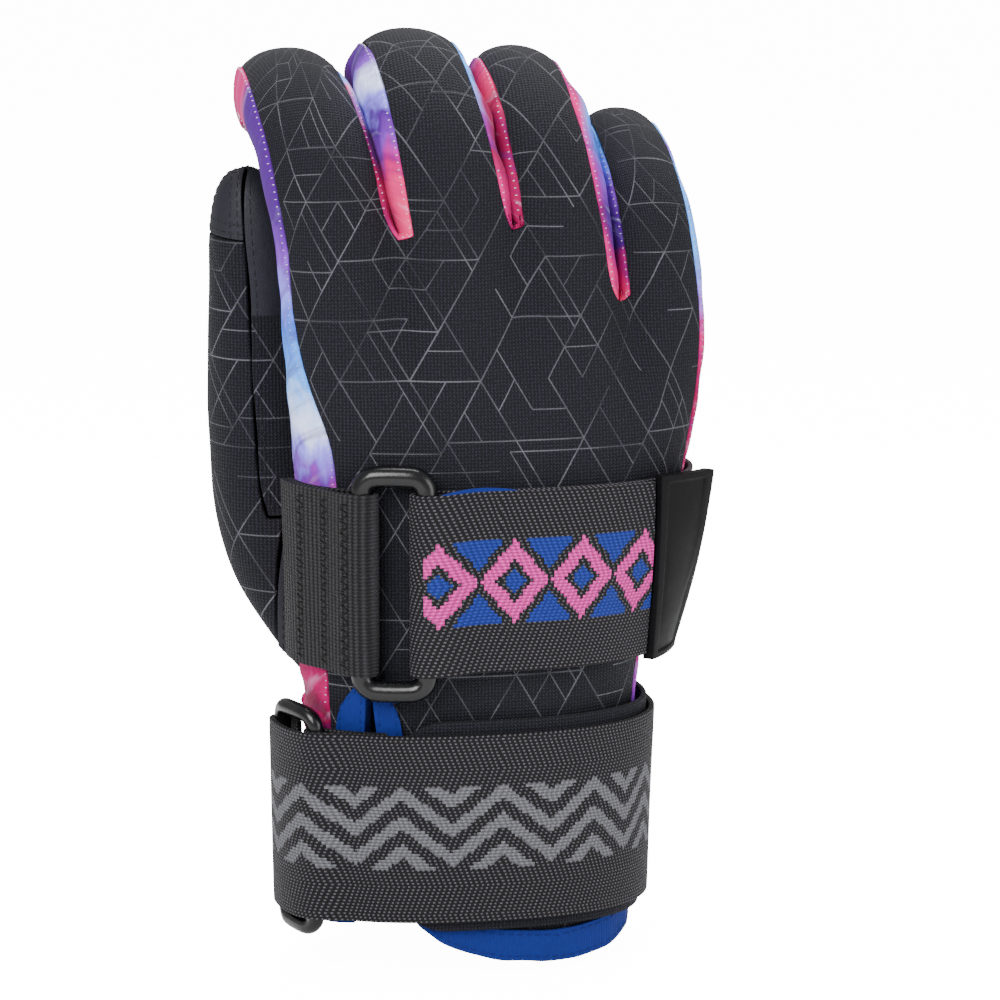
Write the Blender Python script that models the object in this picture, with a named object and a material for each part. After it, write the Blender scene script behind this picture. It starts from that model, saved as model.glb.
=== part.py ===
"""A water ski glove for the right hand: a sewn shell of panels, a hand strap and a wrist strap.

+Z runs along the fingers, the back of the hand faces -Y and the thumb is on the -X side. The origin
is the middle of the cuff's mouth, at the height of its lowest hem. Every length is in metres.

The shell is one skin of quads whose points are named by keys such as ("back", column, row). Each
panel takes its own quads of the skin, a wall on the inner side and half a seam gap at its edges.
What is strapped or sewn onto the shell is placed by a place along the girth, a height and a rise
above the skin, and follows the body's section there.
"""

import math
from collections import namedtuple
from functools import lru_cache

import bpy
import numpy as np

MM = 0.001

# The hand that the glove is cut for
PALM_LENGTH = 184 * MM
HAND_WIDTH = 104 * MM
HAND_DEPTH = 50 * MM
BODY_POWER = 2.5
FINGER_POWER = 2.3

# Cloth, leather and tape
NEOPRENE = 2.5 * MM
LEATHER = 1.3 * MM
STRETCH_CLOTH = 1.5 * MM
TAPE = 0.8 * MM
WEBBING = 1.6 * MM
ELASTIC = 1.5 * MM
PAD = 1.6 * MM
SEAM_GAP = 0.5 * MM
CLEARANCE = 0.35 * MM
STRAP_STEP = 3.4 * MM

# Fingers
BEND_RADIUS = 24 * MM
FINGERTIP = 13 * MM
WEB_DIP = 3 * MM
WEB_GROOVE = 0.8 * MM

# Cuff
SLIT_ACROSS = -28 * MM
SLIT_GAP = 3.2 * MM
SLIT_FLARE_THUMB_SIDE = 3 * MM
SLIT_FLARE_LITTLE_SIDE = 11 * MM
BINDING_WIDTH = 7 * MM
SLIT_TOP_REACH = 0.25

# Hand strap
HAND_STRAP_LOW = 75.5 * MM
HAND_STRAP_WIDTH = 45.5 * MM
HAND_RING_ACROSS = -21.3 * MM
HAND_RING_SPACING = 15 * MM
HAND_RING_HEIGHT = 54 * MM
HAND_RING_WIRE = 4.6 * MM
HAND_RING_CORNER = 4 * MM
HAND_STRAP_REACH = 42.5 * MM
HAND_STRAP_LIFT_START = 34 * MM
HAND_STRAP_LIFT = 4 * MM
ELASTIC_END_ANGLE = -86
HAND_STRAP_END_ANGLE = 128
TAB_LENGTH = 12.5 * MM
TAB_THICKNESS = 3 * MM
TAB_BORDER = 1.5 * MM
TAB_RELIEF = 0.6 * MM

# Wrist strap
WRIST_STRAP_LOW = 12 * MM
WRIST_STRAP_WIDTH = 48 * MM
WRIST_RING_ANGLE = -74
WRIST_RING_SPACING = 13 * MM
WRIST_RING_HEIGHT = 55.5 * MM
WRIST_RING_WIRE = 3 * MM
WRIST_RING_CORNER = 3.5 * MM
WRIST_STRAP_END_ANGLE = 205
WRIST_ANCHOR_REACH = 16 * MM
FOLD_TUCK = 5 * MM
WRIST_PAD_MARGIN = 3 * MM

# Heights are shares of PALM_LENGTH, middles and half widths of HAND_WIDTH, depths of HAND_DEPTH
Section = namedtuple("Section", "height middle half_width back palm")
BODY = (
    Section(-0.05, 0.000, 0.392, 0.485, 0.490),
    Section(0.000, 0.000, 0.393, 0.485, 0.490),
    Section(0.163, 0.000, 0.398, 0.490, 0.485),
    Section(0.326, 0.003, 0.407, 0.500, 0.465),
    Section(0.435, 0.012, 0.419, 0.520, 0.450),
    Section(0.571, 0.044, 0.457, 0.535, 0.420),
    Section(0.707, 0.064, 0.486, 0.525, 0.360),
    Section(0.870, 0.067, 0.507, 0.470, 0.240),
    Section(1.000, 0.056, 0.508, 0.400, 0.120),
)

# Angles round the section, in degrees from the middle of the back; heights as above
Seam = namedtuple("Seam", "height thumb_back thumb_palm little_back little_palm")
SEAMS = (
    Seam(0.00, -60, -112, 72, 108),
    Seam(0.33, -58, -112, 72, 108),
    Seam(0.43, -60, -112, 71, 108),
    Seam(0.55, -54, -110, 70, 108),
    Seam(0.70, -53, -108, 69, 108),
    Seam(0.88, -68, -110, 69, 110),
    Seam(1.00, -66, -112, 69, 110),
)

# The hem's height at angles round the section
Hem = namedtuple("Hem", "angle height")
HEM = (
    Hem(-250, 0.050),
    Hem(-180, 0.045),
    Hem(-110, 0.050),
    Hem(-60, 0.058),
    Hem(-45, 0.062),
    Hem(-19, 0.078),
    Hem(-9, 0.036),
    Hem(3, 0.008),
    Hem(24, 0.000),
    Hem(52, 0.010),
    Hem(70, 0.032),
    Hem(90, 0.050),
    Hem(180, 0.045),
)

# Heights, bases and tails are shares of PALM_LENGTH; across, half width and lean of HAND_WIDTH;
# inward and half depth of HAND_DEPTH; seam is a share of the half width and turn is in degrees
Finger = namedtuple(
    "Finger",
    "name across inward half_width half_depth seam lean bend turn tail thumb_base little_base",
)
FINGERS = (
    Finger("index", -0.315, -0.125, 0.138, 0.240, 0.88, -0.086, 1.036, 114, 0.12, 0.960, 1.000),
    Finger("middle", -0.030, -0.170, 0.141, 0.250, 0.80, -0.086, 1.058, 114, 0.14, 1.000, 1.011),
    Finger("ring", 0.238, -0.150, 0.120, 0.240, 0.79, -0.090, 1.034, 114, 0.12, 1.011, 0.905),
    Finger("little", 0.470, -0.090, 0.106, 0.215, 0.80, -0.064, 0.948, 112, 0.09, 0.905, 0.875),
)
FINGER_ROOT = 0.75
TAPER_START = 0.40
TAPER_ACROSS = 0.16
TAPER_DEPTH = 0.12
FINGER_ROWS = (0, 0.12, 0.24, 0.35, 0.46, 0.57, 0.68, 0.79, 0.88, 0.95, 1)

# The skin's grid
BODY_ROWS = (
    0, 0.085, 0.17, 0.255, 0.335, 0.355, 0.43, 0.50, 0.57, 0.645, 0.72, 0.79, 0.86, 0.93, 1,
)
TOP_ROW = len(BODY_ROWS) - 1
SLIT_COLUMN = 3
SLIT_ROW = 5
BLEND_HEIGHT = 0.68
LAST_COLUMN = 22
THUMB_COLUMNS = 6
THUMB_LOW_ROW = 5
THUMB_HIGH_ROW = 9

# The thumb's sections: x as a share of HAND_WIDTH, y of HAND_DEPTH, z of PALM_LENGTH, tilt outwards
# in degrees, radii towards the hand, away from it and across as shares of HAND_WIDTH, and how far
# the section has left the thumb hole's own outline
ThumbSection = namedtuple("ThumbSection", "x y z tilt web outer across freed")
THUMB = (
    ThumbSection(-0.350, 0.44, 0.500, 66, 0.150, 0.215, 0.185, 0.50),
    ThumbSection(-0.393, 0.50, 0.545, 42, 0.150, 0.195, 0.185, 0.85),
    ThumbSection(-0.418, 0.54, 0.605, 20, 0.150, 0.172, 0.170, 1.00),
    ThumbSection(-0.432, 0.56, 0.675, 8, 0.148, 0.155, 0.157, 1.00),
    ThumbSection(-0.443, 0.56, 0.750, 2, 0.140, 0.143, 0.147, 1.00),
    ThumbSection(-0.450, 0.55, 0.825, 0, 0.132, 0.134, 0.138, 1.00),
    ThumbSection(-0.457, 0.53, 0.900, -2, 0.124, 0.124, 0.128, 1.00),
    ThumbSection(-0.470, 0.51, 0.965, -4, 0.112, 0.112, 0.115, 1.00),
    ThumbSection(-0.480, 0.50, 1.015, -5, 0.092, 0.092, 0.094, 1.00),
    ThumbSection(-0.484, 0.50, 1.047, -5, 0.058, 0.058, 0.060, 1.00),
)
THUMB_POLE = ThumbSection(-0.486, 0.50, 1.060, -5, 0, 0, 0, 1.00)
THUMB_FACING = -145
THUMB_BACK_FIRST = 4
THUMB_BACK_LAST = 10
THUMB_CAP_ROW = 8

Finish = namedtuple("Finish", "colour roughness")
FINISHES = {
    "knit": Finish((0.02, 0.02, 0.024, 1), 0.85),
    "leather": Finish((0.025, 0.025, 0.028, 1), 0.6),
    "pink_cloth": Finish((0.85, 0.08, 0.28, 1), 0.8),
    "blue_cloth": Finish((0.30, 0.45, 0.85, 1), 0.8),
    "blue_tape": Finish((0.01, 0.06, 0.42, 1), 0.7),
    "webbing": Finish((0.05, 0.05, 0.055, 1), 0.75),
    "elastic": Finish((0.03, 0.03, 0.033, 1), 0.75),
    "plastic": Finish((0.02, 0.02, 0.022, 1), 0.35),
    "rubber": Finish((0.03, 0.03, 0.03, 1), 0.5),
}


def clear_scene():
    for old in list(bpy.data.objects):
        bpy.data.objects.remove(old)


def make_collection():
    glove = bpy.data.collections.new("water_ski_glove")
    bpy.context.scene.collection.children.link(glove)
    return glove


@lru_cache(maxsize=None)
def material(name):
    finish = FINISHES[name]
    made = bpy.data.materials.new(name)
    made.use_nodes = True
    shader = made.node_tree.nodes["Principled BSDF"]
    shader.inputs["Base Color"].default_value = finish.colour
    shader.inputs["Roughness"].default_value = finish.roughness
    made.diffuse_color = finish.colour
    return made


def ease(share):
    """A soft step from 0 to 1."""
    share = min(max(share, 0.0), 1.0)
    return share * share * (3 - 2 * share)


def smooth_value(knots, values, at):
    """The value at one place of a smooth curve through the values at rising knots."""
    at = min(max(at, knots[0]), knots[-1])
    slopes = np.gradient(np.array(values, float), np.array(knots, float))
    right = min(max(int(np.searchsorted(knots, at)), 1), len(knots) - 1)
    left = right - 1
    span = knots[right] - knots[left]
    t = (at - knots[left]) / span
    return (
        (1 + 2 * t) * (1 - t) ** 2 * values[left]
        + t * (1 - t) ** 2 * span * slopes[left]
        + t * t * (3 - 2 * t) * values[right]
        + t * t * (t - 1) * span * slopes[right]
    )


def from_table(rows, knot, column, at):
    return smooth_value([getattr(r, knot) for r in rows], [getattr(r, column) for r in rows], at)


def rounded(wave, power):
    """A sine or cosine, squared off as a superellipse of this power needs it."""
    return np.sign(wave) * np.abs(wave) ** (2 / power)


# The body's section


@lru_cache(maxsize=None)
def girth(height):
    """The section at a height: angles, places along it and points. Place 0 is where x is 0 on the back."""
    share = height / PALM_LENGTH
    middle = from_table(BODY, "height", "middle", share) * HAND_WIDTH
    half_width = from_table(BODY, "height", "half_width", share) * HAND_WIDTH
    back = from_table(BODY, "height", "back", share) * HAND_DEPTH
    palm = from_table(BODY, "height", "palm", share) * HAND_DEPTH
    angles = np.arange(-360, 361, 2)
    side = np.sin(np.radians(angles))
    front = np.cos(np.radians(angles))
    x = middle + half_width * rounded(side, BODY_POWER)
    y = -np.where(front > 0, back, palm) * rounded(front, BODY_POWER)
    places = np.concatenate([[0], np.cumsum(np.hypot(np.diff(x), np.diff(y)))])
    on_back = np.abs(angles) < 80
    return angles, places - np.interp(0, x[on_back], places[on_back]), x, y


def place_at(angle, height):
    angles, places, _, _ = girth(height)
    return float(np.interp(angle, angles, places))


def angle_at(place, height):
    angles, places, _, _ = girth(height)
    return float(np.interp(place, places, angles))


def on_body(place, height, rise=0.0):
    """The point this far along the girth and this far off the skin."""
    _, places, x, y = girth(height)
    probe = 1 * MM
    ends = np.array([place - probe, place, place + probe])
    xs = np.interp(ends, places, x)
    ys = np.interp(ends, places, y)
    run = np.array([xs[2] - xs[0], ys[2] - ys[0]])
    run /= np.linalg.norm(run)
    return np.array([xs[1] + run[1] * rise, ys[1] - run[0] * rise, height])


# Fingers


def finger_length(finger):
    straight = (finger.bend - FINGER_ROOT) * PALM_LENGTH
    return straight + BEND_RADIUS * math.radians(finger.turn) + finger.tail * PALM_LENGTH


def finger_line(finger, reach):
    """The middle line's point at a reach from the root, and its angle from upright."""
    straight = (finger.bend - FINGER_ROOT) * PALM_LENGTH
    y = finger.inward * HAND_DEPTH
    z = FINGER_ROOT * PALM_LENGTH + min(reach, straight)
    tilt = min(max((reach - straight) / BEND_RADIUS, 0), math.radians(finger.turn))
    y += BEND_RADIUS * (1 - math.cos(tilt))
    z += BEND_RADIUS * math.sin(tilt)
    tail = max(reach - straight - BEND_RADIUS * math.radians(finger.turn), 0)
    y += tail * math.sin(tilt)
    z += tail * math.cos(tilt)
    top = straight + BEND_RADIUS * math.radians(90)
    base = (finger.little_base - FINGER_ROOT) * PALM_LENGTH
    leaned = ease((reach - base * 0.7) / (top - base * 0.7))
    returned = ease((reach - top) / (finger_length(finger) - top))
    x = (finger.across + finger.lean * (leaned - 0.25 * returned)) * HAND_WIDTH
    return np.array([x, y, z]), tilt


def finger_angles(finger):
    """The twelve angles round a finger's section: back, little side, palm and thumb side."""
    seam = math.degrees(math.asin(finger.seam ** (FINGER_POWER / 2)))
    back = [-seam, -seam / 2, 0, seam / 2, seam]
    return back + [90] + [180 - angle for angle in reversed(back)] + [270]


def finger_point(finger, reach, angle):
    centre, tilt = finger_line(finger, reach)
    ahead, _ = finger_line(finger, reach + 1 * MM)
    along = (ahead - centre) / np.linalg.norm(ahead - centre)
    inward = np.array([0.0, math.cos(tilt), -math.sin(tilt)])
    across = np.cross(inward, along)
    across /= np.linalg.norm(across)
    share = max(reach, 0) / finger_length(finger)
    slimmer = ease((share - TAPER_START) / (1 - TAPER_START))
    tip = min(max((reach - finger_length(finger) + FINGERTIP) / FINGERTIP, 0), 1)
    width = finger.half_width * HAND_WIDTH * (1 - TAPER_ACROSS * slimmer) * (1 - 0.5 * tip**3)
    depth = finger.half_depth * HAND_DEPTH * (1 - TAPER_DEPTH * slimmer) * math.sqrt(1 - tip**2)
    side = rounded(math.sin(math.radians(angle)), FINGER_POWER)
    front = rounded(math.cos(math.radians(angle)), FINGER_POWER)
    return centre + across * width * side - inward * depth * front


def base_height(finger, k):
    """The height at which a finger leaves the hand, at each of its twelve angles."""
    share = (0, 0.25, 0.5, 0.75, 1, 1, 1, 0.75, 0.5, 0.25, 0, 0)[k]
    return (finger.thumb_base + (finger.little_base - finger.thumb_base) * share) * PALM_LENGTH


# Keys of the skin's points


def column_of(side, f, k):
    """The body's column that carries on into a finger's angle k."""
    return 6 * f + (k if side == "back" else 10 - k)


def body_key(side, column, row, half="thumb"):
    if side == "back" and column == SLIT_COLUMN and row < SLIT_ROW:
        return ("back", column, row, half)
    return (side, column, row)


def slit_halves(column):
    """The side of the slit that a column of the back is on, or both at the slit itself."""
    if column == SLIT_COLUMN:
        return ("thumb", "little")
    return ("thumb",) if column < SLIT_COLUMN else ("little",)


def finger_key(f, k, row):
    """A finger's point. Its first row is the body's top row, and its sides end in points at the tip."""
    k %= 12
    if row == len(FINGER_ROWS) - 1:
        return ("tip", f, {5: 4, 11: 0}.get(k, k if k < 5 else 10 - k))
    if row > 0:
        return ("finger", f, k, row)
    if k <= 4:
        return ("back", column_of("back", f, k), TOP_ROW)
    if 6 <= k <= 10:
        return ("palm", column_of("palm", f, k), TOP_ROW)
    if (f, k) == (0, 11):
        return ("thumb_side", TOP_ROW)
    if (f, k) == (3, 5):
        return ("little_side", TOP_ROW)
    return ("finger", f, k, 0)


def thumb_key(ring, k, row):
    k %= len(ring)
    if row == 0:
        return ring[k]
    if row > len(THUMB):
        return ("thumb_pole",)
    return ("thumb", k, row)


def thumb_ring():
    """The keys round the thumb hole, anticlockwise as seen from outside."""
    low, high, wide = THUMB_LOW_ROW, THUMB_HIGH_ROW, THUMB_COLUMNS
    ring = [("palm", column, low) for column in range(wide, 0, -1)]
    ring += [("palm", 0, row) for row in range(low, high)]
    ring += [("palm", column, high) for column in range(wide)]
    return ring + [("palm", wide, row) for row in range(high, low, -1)]


# Points of the skin


def top_point(side, column):
    """Where a column of the back or the palm ends: at a finger's base, or low in the web between two."""
    f, k = divmod(column, 6)
    if k < 5:
        k = k if side == "back" else 10 - k
        finger = FINGERS[f]
        reach = base_height(finger, k) - FINGER_ROOT * PALM_LENGTH
        return finger_point(finger, reach, finger_angles(finger)[k])
    return web_point(side, f, None)


def web_point(side, f, height):
    """The middle of the groove between two fingers, at their web or at a height below it."""
    first = 4 if side == "back" else 6
    second = 0 if side == "back" else 10
    points = []
    for finger, k in ((FINGERS[f], first), (FINGERS[f + 1], second)):
        level = base_height(finger, k) if height is None else height
        reach = level - FINGER_ROOT * PALM_LENGTH
        points.append(finger_point(finger, reach, finger_angles(finger)[k]))
    middle = (points[0] + points[1]) / 2
    middle[1] += WEB_GROOVE if side == "back" else -WEB_GROOVE
    if height is None:
        middle[2] -= WEB_DIP
    return middle


def finger_side_target(side, column, height):
    """Where the finger above a column would be if it went on down to this height."""
    f, k = divmod(column, 6)
    if k == 5:
        return web_point(side, f, height)
    k = k if side == "back" else 10 - k
    finger = FINGERS[f]
    reach = height - FINGER_ROOT * PALM_LENGTH
    return finger_point(finger, reach, finger_angles(finger)[k])


@lru_cache(maxsize=None)
def column_share(side, column):
    """How far across the back or the palm a column is, from its place at the fingers."""
    first = top_point(side, 0)[0]
    last = top_point(side, LAST_COLUMN)[0]
    return (top_point(side, column)[0] - first) / (last - first)


def seam_place(name, height):
    return place_at(from_table(SEAMS, "height", name, height / PALM_LENGTH), height)


def slit_place(height, half):
    """The slit's edges, which spread towards the hem, and its line above them."""
    top = slit_top()
    spread = max(1 - height / top, 0) ** 1.3
    if half == "thumb":
        return SLIT_ACROSS - SLIT_GAP / 2 - SLIT_FLARE_THUMB_SIDE * spread
    return SLIT_ACROSS + SLIT_GAP / 2 + SLIT_FLARE_LITTLE_SIDE * spread


@lru_cache(maxsize=None)
def slit_top():
    low = hem_height(angle_at(SLIT_ACROSS, 0))
    return low + (top_point("back", SLIT_COLUMN)[2] - low) * BODY_ROWS[SLIT_ROW]


def back_place(column, height, row, half):
    first = seam_place("thumb_back", height)
    last = seam_place("little_back", height)
    natural = first + column_share("back", SLIT_COLUMN) * (last - first)
    if row < SLIT_ROW:
        middle = slit_place(height, half)
    else:
        above = ease((height - slit_top()) / (PALM_LENGTH - slit_top()))
        middle = SLIT_ACROSS + (natural - SLIT_ACROSS) * above
    share = column_share("back", column)
    split = column_share("back", SLIT_COLUMN)
    if column <= SLIT_COLUMN:
        return first + (middle - first) * share / split
    return middle + (last - middle) * (share - split) / (1 - split)


def palm_place(column, height):
    first = seam_place("thumb_palm", height)
    whole = place_at(360, height) - place_at(0, height)
    last = seam_place("little_palm", height) - whole
    return first + (last - first) * column_share("palm", column)


def hem_height(angle):
    if angle < HEM[0].angle:
        angle += 360
    return float(np.interp(angle, [h.angle for h in HEM], [h.height for h in HEM])) * PALM_LENGTH


def finger_weight(height, top):
    """How far a height of the body is drawn over to the outline of the finger above it."""
    low = BLEND_HEIGHT * PALM_LENGTH
    return ease((height - low) / (top - low))


def body_point(side, column, row, half):
    """A point of the body's grid, drawn over to the fingers' own outlines in its last rows."""
    top = top_point(side, column)

    def place(height):
        if side == "back":
            return back_place(column, height, row, half)
        return palm_place(column, height)

    low = hem_height(angle_at(place(0.0), 0.0))
    height = low + (top[2] - low) * BODY_ROWS[row]
    if row == TOP_ROW:
        return top
    point = on_body(place(height), height)
    weight = finger_weight(height, top[2])
    return point + (finger_side_target(side, column, height) - point) * weight


def side_point(side, row):
    """A point of the line along the middle of the thumb side or the little finger's side."""
    finger, k = (FINGERS[0], 11) if side == "thumb_side" else (FINGERS[-1], 5)
    back, palm = ("thumb_back", "thumb_palm") if side == "thumb_side" else ("little_back", "little_palm")
    angle = -90 if side == "thumb_side" else 90
    low = hem_height(angle)
    height = low + (base_height(finger, k) - low) * BODY_ROWS[row]
    place = (seam_place(back, height) + seam_place(palm, height)) / 2
    reach = height - FINGER_ROOT * PALM_LENGTH
    target = finger_point(finger, reach, finger_angles(finger)[k])
    weight = finger_weight(height, base_height(finger, k))
    point = on_body(place, height)
    return point + (target - point) * weight


def thumb_point(section, angle):
    """A point of a thumb section. Angle 0 faces the back of the thumb, 90 the hand."""
    facing = math.radians(THUMB_FACING)
    outward = np.array([math.sin(facing), -math.cos(facing), 0.0])
    across = np.array([math.cos(facing), math.sin(facing), 0.0])
    tilt = math.radians(section.tilt)
    along = outward * math.sin(tilt) + np.array([0, 0, math.cos(tilt)])
    towards_hand = np.cross(along, across)
    centre = np.array([section.x * HAND_WIDTH, section.y * HAND_DEPTH, section.z * PALM_LENGTH])
    wave = math.sin(math.radians(angle))
    radius = section.web if wave > 0 else section.outer
    side = across * section.across * math.cos(math.radians(angle))
    return centre + (side + towards_hand * radius * wave) * HAND_WIDTH


def skin_points():
    """Every point of the skin, by its key."""
    points = {}
    for column in range(LAST_COLUMN + 1):
        for row in range(TOP_ROW + 1):
            points["palm", column, row] = body_point("palm", column, row, None)
            for half in slit_halves(column):
                points[body_key("back", column, row, half)] = body_point("back", column, row, half)
    for row in range(TOP_ROW + 1):
        for side in ("thumb_side", "little_side"):
            points[side, row] = side_point(side, row)
    for f, finger in enumerate(FINGERS):
        length = finger_length(finger)
        for k, angle in enumerate(finger_angles(finger)):
            base = base_height(finger, k) - FINGER_ROOT * PALM_LENGTH
            for row, share in enumerate(FINGER_ROWS):
                key = finger_key(f, k, row)
                if key not in points:
                    points[key] = finger_point(finger, base + (length - base) * share, angle)
    for f in range(len(FINGERS) - 1):
        middle = (points[finger_key(f, 5, 0)] + points[finger_key(f + 1, 11, 0)]) / 2
        points["web", f] = middle - np.array([0, 0, WEB_DIP])
    ring = thumb_ring()
    step = 360 / len(ring)
    first = -90 - step * THUMB_COLUMNS / 2
    for row, section in enumerate(THUMB, 1):
        for k in range(len(ring)):
            free = thumb_point(section, first + step * k)
            points["thumb", k, row] = points[ring[k]] + (free - points[ring[k]]) * section.freed
    points["thumb_pole",] = thumb_point(THUMB_POLE, 0)
    return points


# Quads of the skin, by panel


def skin_quads():
    quads = {}

    def add(panel, *keys):
        kept = [key for n, key in enumerate(keys) if key != keys[n - 1]]
        quads.setdefault(panel, []).append(kept)

    for row in range(TOP_ROW):
        for column in range(LAST_COLUMN):
            half = "thumb" if column < SLIT_COLUMN else "little"
            add(
                "back_panel",
                body_key("back", column, row, half),
                body_key("back", column + 1, row, half),
                body_key("back", column + 1, row + 1, half),
                body_key("back", column, row + 1, half),
            )
            in_hole = column < THUMB_COLUMNS and THUMB_LOW_ROW <= row < THUMB_HIGH_ROW
            if not in_hole:
                add(
                    "palm_panel",
                    ("palm", column, row),
                    ("palm", column, row + 1),
                    ("palm", column + 1, row + 1),
                    ("palm", column + 1, row),
                )
        for panel, side, back, palm in (
            ("radial_gusset", "thumb_side", ("back", 0), ("palm", 0)),
            ("ulnar_gusset", "little_side", ("palm", LAST_COLUMN), ("back", LAST_COLUMN)),
        ):
            for left, right in ((palm, (side,)), ((side,), back)):
                add(panel, (*left, row), (*right, row), (*right, row + 1), (*left, row + 1))
    gussets = ("radial_gusset", "index_middle_gusset", "middle_ring_gusset", "ring_little_gusset")
    gussets += ("ulnar_gusset",)
    for f in range(len(FINGERS)):
        for row in range(len(FINGER_ROWS) - 1):
            for k in range(12):
                if k < 4:
                    panel = "back_panel"
                elif k < 6:
                    panel = gussets[f + 1]
                elif k < 10:
                    panel = "palm_panel"
                else:
                    panel = gussets[f]
                add(
                    panel,
                    finger_key(f, k, row),
                    finger_key(f, k + 1, row),
                    finger_key(f, k + 1, row + 1),
                    finger_key(f, k, row + 1),
                )
    for f in range(len(FINGERS) - 1):
        back_web = ("back", 6 * f + 5, TOP_ROW)
        palm_web = ("palm", 6 * f + 5, TOP_ROW)
        web = ("web", f)
        left = [finger_key(f, k, 0) for k in (4, 5, 6)]
        right = [finger_key(f + 1, k, 0) for k in (0, 11, 10)]
        add(gussets[f + 1], left[0], back_web, web, left[1])
        add(gussets[f + 1], back_web, right[0], right[1], web)
        add(gussets[f + 1], left[1], web, palm_web, left[2])
        add(gussets[f + 1], web, right[1], right[2], palm_web)
    ring = thumb_ring()
    for row in range(len(THUMB) + 1):
        for k in range(len(ring)):
            on_back = THUMB_BACK_FIRST <= k < THUMB_BACK_LAST
            if row == 0:
                panel = "palm_panel"
            elif not on_back:
                panel = "thumb_palm"
            else:
                panel = "thumb_back" if row < THUMB_CAP_ROW else "thumb_tip"
            add(
                panel,
                thumb_key(ring, k, row),
                thumb_key(ring, k + 1, row),
                thumb_key(ring, k + 1, row + 1),
                thumb_key(ring, k, row + 1),
            )
    return quads


def face_normal(corners):
    """The normal of a face whose corners may lie out of one plane, as long as twice its area."""
    total = np.zeros(3)
    for n, corner in enumerate(corners):
        total += np.cross(corners[n - 1], corner)
    return total


def skin_normals(points, quads):
    normals = {key: np.zeros(3) for key in points}
    for faces in quads.values():
        for face in faces:
            normal = face_normal([points[key] for key in face])
            for key in face:
                normals[key] += normal
    return {key: normal / max(np.linalg.norm(normal), 1e-12) for key, normal in normals.items()}


# Meshes


def add_mesh(name, vertices, faces, finish, collection):
    mesh = bpy.data.meshes.new(name)
    mesh.from_pydata([tuple(v) for v in vertices], [], faces)
    mesh.validate()
    mesh.shade_smooth()
    mesh.set_sharp_from_angle(angle=math.radians(50))
    made = bpy.data.objects.new(name, mesh)
    made.data.materials.append(material(finish))
    collection.objects.link(made)
    return made


def edge_shift(faces, points):
    """How far each point on a panel's edge moves into the panel, for half a seam gap."""
    inward = {}
    edges = {(face[n - 1], key) for face in faces for n, key in enumerate(face)}
    for face in faces:
        normal = face_normal([points[key] for key in face])
        for n, end in enumerate(face):
            start = face[n - 1]
            if (end, start) in edges:
                continue
            side = np.cross(normal, points[end] - points[start])
            side /= np.linalg.norm(side)
            inward.setdefault(start, []).append(side)
            inward.setdefault(end, []).append(side)
    shifts = {}
    for key, (first, second) in inward.items():
        mitre = (first + second) / max(1 + first @ second, 0.3)
        shifts[key] = mitre * SEAM_GAP / 2
    return shifts


def add_panel(name, skin, wall, finish, collection):
    """A sewn panel: its quads of the skin, the same again one wall further in, and the edges.

    Two panels split the quads between their walls on the same diagonal, so that the gap stays open.
    """
    points, normals, quads = skin
    faces = quads[name]
    shifts = edge_shift(faces, points)
    index = {}
    for face in faces:
        for key in face:
            index.setdefault(key, len(index))
    outer = [points[key] + shifts.get(key, 0) for key in index]
    inner = [place - normals[key] * wall for key, place in zip(index, outer)]
    count = len(index)
    made = [[index[key] for key in face] for face in faces]
    made += [[index[key] + count for key in reversed(face)] for face in faces]
    edges = {(face[n - 1], key) for face in faces for n, key in enumerate(face)}
    for start, end in sorted(edges, key=lambda edge: (index[edge[0]], index[edge[1]])):
        if (end, start) not in edges:
            a, b = index[start], index[end]
            if str(start) < str(end):
                made += [[b, a, b + count], [a, a + count, b + count]]
            else:
                made += [[b, a, a + count], [b, a + count, b + count]]
    return add_mesh(name, outer + inner, made, finish, collection)


def add_sweep(name, sections, closed, finish, collection):
    """A solid through matching closed sections, joined end to end or capped by pairs of points."""
    around = len(sections[0])
    vertices = [point for section in sections for point in section]
    faces = []
    for n in range(len(sections) if closed else len(sections) - 1):
        here = n * around
        there = (n + 1) % len(sections) * around
        for k in range(around):
            after = (k + 1) % around
            faces.append([here + k, there + k, there + after, here + after])
    if not closed:
        last = (len(sections) - 1) * around
        for k in range(around // 2 - 1):
            pair = [k, k + 1, around - 2 - k, around - 1 - k]
            faces.append(pair)
            faces.append([last + n for n in reversed(pair)])
    return add_mesh(name, vertices, faces, finish, collection)


# Straps


def turned(route):
    """The unit direction at each point of a route of places and rises."""
    route = np.array(route)
    ahead = np.gradient(route, axis=0)
    return ahead / np.linalg.norm(ahead, axis=1)[:, None]


def add_ribbon(name, route, thickness, low, high, finish, collection, levels=4):
    """A flat strap along a route of (place, rise), between two heights."""
    ways = turned(route)
    sections = []
    for (place, rise), (along, up) in zip(route, ways):
        section = []
        for side, rows in ((0.5, range(levels)), (-0.5, range(levels - 1, -1, -1))):
            offset = side * thickness
            for row in rows:
                height = low + (high - low) * row / (levels - 1)
                section.append(on_body(place - up * offset, height, rise + along * offset))
        sections.append(section)
    return add_sweep(name, sections, False, finish, collection)


def fold_round(place, rise, radius, opens_to, steps=8):
    """Half a turn round a bar, from over it to under it, that opens towards one side."""
    turns = np.linspace(90, 270, steps + 1)
    return [
        (
            place + opens_to * radius * math.cos(math.radians(turn)),
            rise + radius * math.sin(math.radians(turn)),
        )
        for turn in turns
    ]


def run(start, end, start_rise, end_rise, step=STRAP_STEP):
    """Points from one place to another, with a soft change of rise."""
    count = max(int(abs(end - start) / step), 2)
    return [
        (start + (end - start) * n / count, start_rise + (end_rise - start_rise) * ease(n / count))
        for n in range(count)
    ]


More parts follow.
